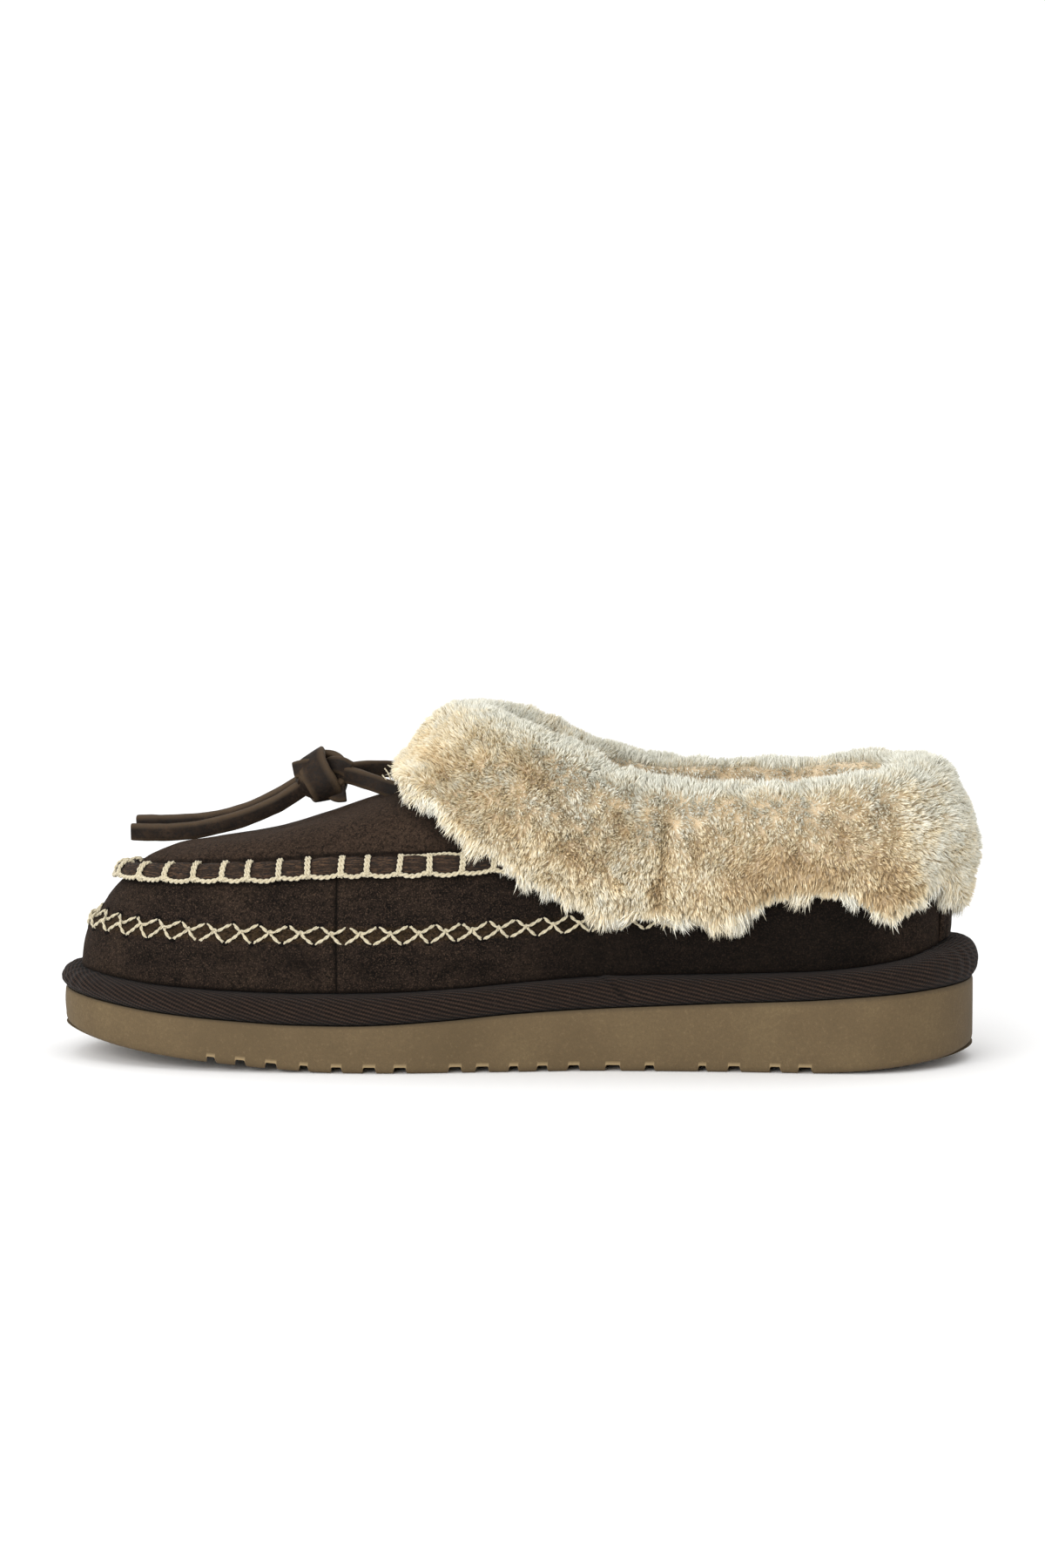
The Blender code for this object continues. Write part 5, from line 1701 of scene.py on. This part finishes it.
def make_cuff_core(name, node, cols, grid, nrm, ctrl, look):
    """Dense body of the pile below its tips, closed against the skin."""
    g, n = grid[cols], nrm[cols]
    u = np.linspace(0, 1, len(cols))
    lap = arcs_of(g[:, CUFF_ROWS // 3])
    end = np.minimum(lap, lap[-1] - lap)
    shrink = np.clip(end / 2.6, 0, 1)
    shrink = np.sqrt(np.clip(1 - (1 - shrink) ** 2, 0.0, 1))[:, None]
    rows = np.linspace(0, 1, CUFF_ROWS)[None]
    edge = ease(0.0, 0.10, rows)
    inset = 2.5 * np.clip(edge * 0.65 + 0.35, 0, 1) * (1 - 0.55 * ease(0.80, 1.0, rows))
    _, sink = crease(g)
    lump = (noise(g, 9.0, 92) - 0.5) * 2.2 + (noise(g, 4.2, 93) - 0.5) * 1.4
    depth = inset + sink - lump * ease(0.03, 0.12, rows) * (1 - 0.5 * ease(0.8, 1, rows))
    depth = depth + (1 - shrink) * (1.1 - 0.9 * ease(0.35, 0.55, rows)) * ease(0.0, 0.06, rows)
    outer = g - n * depth[..., None]
    contact = []
    width = CUFF_WIDTH
    for f in (0.15, 0.4, 0.7, 0.97):
        q, m = skin_rows(ARC_TOP - width * (1 - f))
        contact.append((q + m * 0.25)[cols])
    inner = inner_face(WALL, 40)[:, [-1, -3]][cols]
    ring = np.concatenate([outer, inner[:, ::-1], np.stack(contact[::-1], 1)], 1)
    m = ring.shape[1]
    nc = len(cols)
    pts = [ring.reshape(-1, 3), ring[0].mean(0)[None], ring[-1].mean(0)[None]]
    quads = grid_faces(nc, m, False, True)
    k = np.arange(m)
    t1 = np.stack([np.full(m, nc * m), (k + 1) % m, k], 1)
    t2 = np.stack([np.full(m, nc * m + 1), (nc - 1) * m + k, (nc - 1) * m + (k + 1) % m], 1)
    obj = make_object(name, np.concatenate(pts), [quads, np.concatenate([t1, t2])], look)
    tidy(obj)
    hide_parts(node)
    return outer, n, lap


FUR_TONES = [
    ("pile_brown", rgb(211, 189, 151)),
    ("pile_deep", rgb(226, 209, 174)),
    ("pile_tan", rgb(234, 221, 191)),
    ("pile_sand", rgb(235, 225, 200)),
    ("pile_cream", rgb(233, 226, 207)),
    ("pile_pale", rgb(230, 227, 213)),
    ("pile_white", rgb(228, 227, 216)),
]


def fur_materials():
    out = []
    for name, c in FUR_TONES:
        out.append(principled(name, c, 0.9, **{"Specular IOR Level": 0.15, "Sheen Weight": 0.0}))
    return out


def sample_grid(grid, nrm, count, weight, rng):
    """Random places over a grid of quads, by area times weight: (column, row, u, v, point, normal)."""
    a, b = grid[1:, :-1] - grid[:-1, :-1], grid[:-1, 1:] - grid[:-1, :-1]
    area = np.linalg.norm(np.cross(a, b), axis=2) * weight
    cdf = np.cumsum(area.ravel())
    pick = np.searchsorted(cdf, rng.random(count) * cdf[-1])
    i, j = np.unravel_index(np.minimum(pick, area.size - 1), area.shape)
    u, v = rng.random(count)[:, None], rng.random(count)[:, None]

    def read(g):
        return g[i, j] * (1 - u) * (1 - v) + g[i + 1, j] * u * (1 - v) + g[i, j + 1] * (1 - u) * v + g[i + 1, j + 1] * u * v

    return i + u[:, 0], j + v[:, 0], read(grid), unit(read(nrm))


def tuft(p, n, tip, size, pull, seed):
    """Draws tips together towards the middle of the tuft that each strand stands in."""
    q = p / size
    i = np.floor(q).astype(np.int64)
    best = np.full(len(p), 1e9)
    centre = np.zeros_like(p)
    for dx in (-1, 0, 1):
        for dy in (-1, 0, 1):
            for dz in (-1, 0, 1):
                c = i + [dx, dy, dz]
                jit = np.stack([lattice(c[:, 0] + 900, c[:, 1] + 900, c[:, 2] + 900, seed + k) for k in range(3)], 1)
                at = (c + jit) * size
                d = ((at - p) ** 2).sum(1)
                near = d < best
                best = np.where(near, d, best)
                centre = np.where(near[:, None], at, centre)
    off = centre - p
    off = off - n * (off * n).sum(1, keepdims=True)
    return tip + off * pull


def strands(into_name, root, direction, length, width, root_look, tip_look, looks, rng, bend=0.25, down=None, tuft_size=2.3, pull=0.45, normal=None):
    """One mesh of tapered hairs, each a folded kite of four points."""
    n = direction if normal is None else normal
    tip = root + direction * length[:, None]
    tip = tuft(root, n, tip, tuft_size, pull, 101)
    d = unit(tip - root)
    side_dir = unit(np.cross(d, unit(rng.standard_normal(d.shape))))
    mid = root + (tip - root) * 0.62 + unit(np.cross(d, side_dir)) * (length * bend * (rng.random(len(length)) - 0.5))[:, None]
    if down is not None:
        tip = tip + down * (length * 0.18)[:, None]
    w = side_dir * (width / 2)[:, None]
    pts = np.stack([root, mid - w, mid + w, tip], 1).reshape(-1, 3)
    b = np.arange(len(root)) * 4
    upper, lower = np.stack([b + 1, b + 2, b + 3], 1), np.stack([b, b + 2, b + 1], 1)
    obj = make_object(into_name, pts, [upper, lower], looks, np.concatenate([tip_look, root_look]))
    return obj


def pick_tone(value, rng, spread=0.12):
    """Index of a pile tone for values from 0, deepest, to 1, palest."""
    v = value + rng.normal(0, spread, len(value))
    return np.clip((v * len(FUR_TONES)).astype(int), 0, len(FUR_TONES) - 1)


def tone_field(p, row, shade, z_frac=None):
    """How pale the pile is at its tips, less painted shade in the creases. row runs from 0 at the lower edge to 1
    inside the shoe.
    """
    # Paler along the rim: partly the wool's own tone and partly painted light where the rim faces up.
    base = np.interp(row, [0.0, 0.06, 0.14, 0.24, 0.40, 0.52, 0.64, 0.78, 1.0], [0.64, 0.50, 0.42, 0.46, 0.62, 0.84, 0.90, 0.84, 0.72])
    x = p[:, 0]
    base = base + 0.20 * ease(108, 128, x) + 0.08 * (1 - ease(-40, -22, x))
    base = base - 0.26 * ease(50, 70, x) * (1 - ease(104, 122, x)) * (1 - ease(0.26, 0.40, row)) * ease(0.02, 0.10, row)
    base = base + (noise(p, 13, 94) - 0.5) * 0.30 + (noise(p, 5.0, 95) - 0.5) * 0.30 + (noise(p, 2.2, 96) - 0.5) * 0.30
    # Painted shade in the creases.
    return base - 0.45 * shade


def make_fur(part, outer, n, lap, count, looks, seed):
    rng = np.random.default_rng(seed)
    rows = np.linspace(0, 1, CUFF_ROWS)
    weight = np.ones((outer.shape[0] - 1, CUFF_ROWS - 1))
    weight *= np.interp(rows[:-1], [0, 0.03, 0.08, 0.62, 0.8, 1.0], [1.7, 1.7, 1.0, 1.0, 0.55, 0.25])[None]
    ci, rj, p, m = sample_grid(outer, n, count, weight, rng)
    row = rj / (CUFF_ROWS - 1)
    shade, sink = crease(p)
    end = np.minimum(np.interp(ci, np.arange(len(lap)), lap), lap[-1] - np.interp(ci, np.arange(len(lap)), lap))
    lean = np.stack([noise(p, 3.4, 111 + k) - 0.5 for k in range(3)], 1) * 1.2
    lean += np.stack([noise(p, 9.0, 121 + k) - 0.5 for k in range(3)], 1) * 0.9
    lean += rng.standard_normal(p.shape) * 0.14
    low = 1 - ease(0.0, 0.16, row)
    d = m + lean * 0.62
    d[:, 2] -= 0.25 + 0.75 * low
    d = unit(d)
    length = 3.0 + 1.0 * rng.random(count) + 1.0 * low * rng.random(count)
    length *= 1 - 0.35 * ease(0.78, 1.0, row)
    width = 0.36 + 0.16 * rng.random(count)
    tone = tone_field(p, row, shade)
    # Roots a tone deeper than tips: partly the wool's own colour and partly painted shade deep in the pile.
    obj = strands(
        part, p - m * 0.5, d, length, width, pick_tone(tone - 0.12, rng, 0.07), pick_tone(tone + 0.05, rng, 0.09), looks, rng, normal=m
    )
    return obj


def make_fringe(outer, n, looks, count=31000):
    """Longer wisps along the lower edge, which lie down over the suede."""
    rng = np.random.default_rng(131)
    wrap = np.concatenate([outer, outer[:1]]), np.concatenate([n, n[:1]])
    band_g, band_n = wrap[0][:, :5], wrap[1][:, :5]
    _, _, p, m = sample_grid(band_g, band_n, count, np.ones((band_g.shape[0] - 1, 4)), rng)
    wisp = noise(p * [1, 1, 0.4], 3.2, 132)
    long = noise(p * [1, 1, 0.3], 8.0, 133)
    length = 2.0 + 6.0 * wisp * wisp + 3.4 * (long - 0.4) + 2.6 * rng.random(count) ** 2
    length = np.clip(length, 1.4, 9.5)
    d = m * 0.34 + np.stack([noise(p, 4.0, 141 + k) - 0.5 for k in range(3)], 1) * 1.7 + rng.standard_normal(p.shape) * 0.16
    d[:, 2] -= 1.0
    d = unit(d)
    width = 0.22 + 0.10 * rng.random(count)
    tone = 0.60 + (noise(p, 6.0, 134) - 0.5) * 0.5
    # Roots a tone deeper than tips: partly the wool's own colour and partly painted shade deep in the pile.
    obj = strands("cuff_fringe", p - m * 0.4, d, length, width, pick_tone(tone - 0.2, rng), pick_tone(tone + 0.08, rng), looks, rng, bend=0.5, tuft_size=3.0, pull=0.6, normal=m)
    return obj


def make_inner_pile(looks, count=24000):
    """Short pile standing out of the lining near the opening, and sparser further down."""
    rng = np.random.default_rng(151)
    g = inner_face(WALL, 40)
    n = normals(g)
    n = -n
    g, n = np.concatenate([g, g[:1]]), np.concatenate([n, n[:1]])
    g, n = g[:, 6:], n[:, 6:]
    w = np.ones((g.shape[0] - 1, g.shape[1] - 1))
    t = np.linspace(0, 1, w.shape[1])
    w *= (0.35 + 0.65 * ease(0.3, 0.9, t))[None]
    heel = (1 - ease(80, 130, np.concatenate([FOLDED])))[:, None]
    w *= 0.25 + 0.75 * heel
    _, rj, p, m = sample_grid(g, n, count, w, rng)
    d = unit(m + np.stack([noise(p, 3.4, 161 + k) - 0.5 for k in range(3)], 1) * 1.2 + rng.standard_normal(p.shape) * 0.2)
    length = 2.6 + 1.2 * rng.random(count)
    tone = 0.66 + (noise(p, 9, 152) - 0.5) * 0.4
    # Roots a tone deeper than tips: partly the wool's own colour and partly painted shade deep in the pile.
    return strands("lining_pile", p - m * 0.3, d, length, 0.36 + 0.1 * rng.random(count), pick_tone(tone - 0.2, rng), pick_tone(tone, rng), looks, rng, normal=m)


def make_cuffs(core_look, looks):
    ctrl, t, grid, nrm = cuff_surface()
    half = len(HALF_ANGLES)
    i1 = int(np.searchsorted(HALF_ANGLES, SEAM_ANGLE))
    instep = np.arange(i1 - 1, NC - i1 + 2)
    heel = np.concatenate([np.arange(NC - i1 - 1, NC), np.arange(0, i1 + 2)])
    a, na, lap_a = make_cuff_core("cuff_instep_core", "cuff_instep", instep, grid, nrm, ctrl, core_look)
    b, nb, lap_b = make_cuff_core("cuff_heel_core", "cuff_heel", heel, grid, nrm, ctrl, core_look)
    make_fur("cuff_instep_pile_a", a, na, lap_a, 58000, looks, 201)
    make_fur("cuff_instep_pile_b", a, na, lap_a, 31000, looks, 202)
    make_fur("cuff_heel_pile", b, nb, lap_b, 62000, looks, 203)
    whole, wn = np.empty_like(grid), np.empty_like(nrm)
    whole[instep], wn[instep] = a, na
    whole[heel], wn[heel] = b, nb
    make_fringe(whole, wn, looks)
    make_inner_pile(looks)


# ------------------------------------------------------------------ lace
KNOT = (-58.9, -0.4, 81.4)
# Each thong from the hole under the cuff, over its strand, through the knot, to the cut tip.
NEAR_PATH = [
    (-33.6, -10.0, 77.8),
    (-38.8, -9.2, 79.0),
    (-45.1, -6.6, 80.9),
    (-51.0, -3.8, 82.2),
    (-56.0, -2.2, 82.0),
    (-61.5, -2.3, 79.9),
    (-67.4, -2.7, 76.4),
    (-73.0, -3.0, 73.1),
    (-82.0, -3.2, 69.2),
    (-92.3, -3.4, 66.3),
    (-102.5, -3.6, 65.0),
    (-115.4, -3.6, 64.8),
]
FAR_PATH = [
    (-33.6, 10.2, 81.0),
    (-38.8, 9.6, 82.4),
    (-45.1, 7.0, 82.9),
    (-51.0, 4.0, 82.6),
    (-56.0, 2.4, 82.6),
    (-61.5, 1.6, 81.2),
    (-67.4, 1.1, 77.9),
    (-73.0, 0.9, 74.6),
    (-82.0, 0.8, 70.7),
    (-92.3, 0.8, 67.9),
    (-102.5, 0.9, 66.9),
    (-114.2, 1.2, 66.8),
]


def make_lace(look):
    knot = make_knot(look)
    for name, route, nodes, seed in (
        ("lace_thong_near", NEAR_PATH, ("lace_near", "lace_end_near"), 5),
        ("lace_thong_far", FAR_PATH, ("lace_far", "lace_end_far"), 8),
    ):
        dense = curve_through(route, 160)
        wob = np.stack([noise(dense, 9.0, 171 + seed + k) - 0.5 for k in range(3)], 1) * [0.0, 0.5, 0.35]
        dense = dense + wob
        j = Joined()
        up = unit(np.array([0.0, 0.0, 1.0]) + np.array([0.0, -0.20, 0.0]))
        twist = [(0.0, -12), (0.10, -20), (0.20, -8), (0.3, 0), (0.42, 10), (0.6, 3), (0.8, -4), (1.0, 2)]
        band(j, dense, up, THONG[0], THONG[1], 0.6, 0, 5.0, twist, rough=0.16, seed=seed, cut=0.04)
        obj = j.build(name, [look], attribute="edge")
        tidy(obj)
        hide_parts(*nodes)


def make_knot(look):
    """The knot: a wide band folded over both thongs, with the ends of the turns showing at its corners."""
    j = Joined()
    x, y, z = KNOT
    # Wide band over the front, from upper left to lower right, then round the back.
    wrap = [
        (-62.2, 3.6, 85.8),
        (-62.2, -1.2, 87.2),
        (-61.6, -5.2, 85.4),
        (-60.2, -7.0, 82.8),
        (-58.2, -7.2, 79.6),
        (-57.0, -5.2, 76.6),
        (-57.6, -1.0, 75.6),
        (-59.4, 3.8, 77.0),
        (-61.2, 5.8, 81.0),
        (-62.2, 3.6, 85.8),
    ]
    p = curve_through(wrap, 90)
    centre = np.array([-58.6, 0.0, 81.8])
    out = unit(p - centre)
    t = unit(np.gradient(p, axis=0))
    across_dir = unit(np.cross(t, out))
    band(j, p, across_dir, 9.0, 2.4, 0.6, 0, 6.0, rough=0.3, seed=21)
    # Turn under it, from lower left up to the right.
    turn = [
        (-64.6, -4.2, 79.4),
        (-61.4, -5.4, 78.2),
        (-57.4, -4.9, 77.4),
        (-53.6, -3.0, 78.4),
        (-52.8, 0.6, 81.6),
        (-54.6, 3.8, 85.0),
        (-59.4, 4.6, 86.0),
        (-64.2, 2.0, 84.0),
        (-65.4, -1.8, 81.6),
        (-64.6, -4.2, 79.4),
    ]
    p = curve_through(turn, 90)
    out = unit(p - centre)
    t = unit(np.gradient(p, axis=0))
    band(j, p, unit(np.cross(t, out)), 6.4, 2.6, 0.6, 0, 4.5, rough=0.3, seed=22)
    # Corners of the turns: left flap, upper right block, lower right block.
    for pts, wide, thick, up in (
        ([(-60.2, -3.4, 84.2), (-62.8, -4.4, 84.4), (-65.0, -4.6, 84.0), (-66.9, -4.2, 83.4)], 5.0, 2.4, (0.25, 0.2, 1.0)),
        ([(-58.4, -0.6, 83.6), (-56.0, -2.4, 84.8), (-53.4, -3.4, 85.0), (-50.6, -3.4, 83.6)], 5.2, 3.2, (0.35, 0.1, 1.0)),
        ([(-57.8, -3.2, 79.0), (-55.8, -4.0, 77.8), (-54.0, -4.4, 77.0), (-51.8, -4.4, 77.2)], 5.6, 3.0, (-0.15, 0.3, 1.0)),
    ):
        path = curve_through(pts, 24)
        band(j, path, unit(np.array(up)), wide, thick, 0.5, 0, 5.0, rough=0.25, seed=23, cut=0.05)
    obj = j.build("lace_knot_folded", [look], attribute="edge")
    tidy(obj)
    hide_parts("lace_knot")
    return obj


def make_loose_threads(thread):
    """A few ends of white thread where the thongs go under the cuff."""
    j = Joined()
    for k, pts in enumerate(
        (
            [(-41.4, -7.4, 86.2), (-40.2, -9.2, 85.0), (-39.4, -9.6, 83.2), (-38.4, -8.8, 82.0)],
            [(-40.6, -5.6, 87.0), (-39.0, -7.6, 86.2), (-38.0, -8.6, 84.6), (-37.0, -7.8, 83.6)],
            [(-42.0, -8.4, 84.4), (-40.8, -9.6, 83.2), (-39.8, -10.2, 81.8), (-38.6, -9.6, 80.8)],
            [(-40.2, -4.0, 86.4), (-38.6, -5.8, 87.0), (-37.2, -7.0, 86.0), (-36.4, -6.4, 85.0)],
        )
    ):
        path = curve_through(pts, 24)
        yarn(j, path + [1.4, 0, -1.6], (0, -1, 0.2), 0.22, 2, 2.6, 0.4, 6, k)
    obj = j.build("hole_threads", [thread])


# ------------------------------------------------------------------ the shoe
def main():
    make_stage()
    thong = thong_material()
    make_lace(thong)
    suede = suede_material()
    leather = leather_material()
    tape = tape_material()
    foam = foam_material()
    thread = yarn_material()
    lining = fleece_material("lining_fleece", rgb(214, 190, 154), rgb(232, 214, 184), rgb(242, 230, 208))
    core = fleece_material("pile_body", rgb(212, 186, 148), rgb(230, 209, 176), rgb(240, 224, 198))
    # Near-black cups for the stitch holes: painted shade in the holes.
    hole = principled("stitch_hole", rgb(14, 11, 10), 1.0, **{"Specular IOR Level": 0.05})
    n = Nodes(hole)
    n.colour(n.ramp(n.noise(n.coord("Object"), 1800, 3, 0.6), [(0.35, rgb(9, 7, 6)), (0.7, rgb(26, 21, 19))]))
    make_sole(foam)
    make_tape(tape)
    make_insole(lining)
    make_upper(suede, lining)
    make_roll(leather)
    make_seam_stitches(thread)
    make_cross_stitches(thread, hole)
    make_heel_strip(suede)
    make_loose_threads(thread)
    make_cuffs(core, fur_materials())


main()
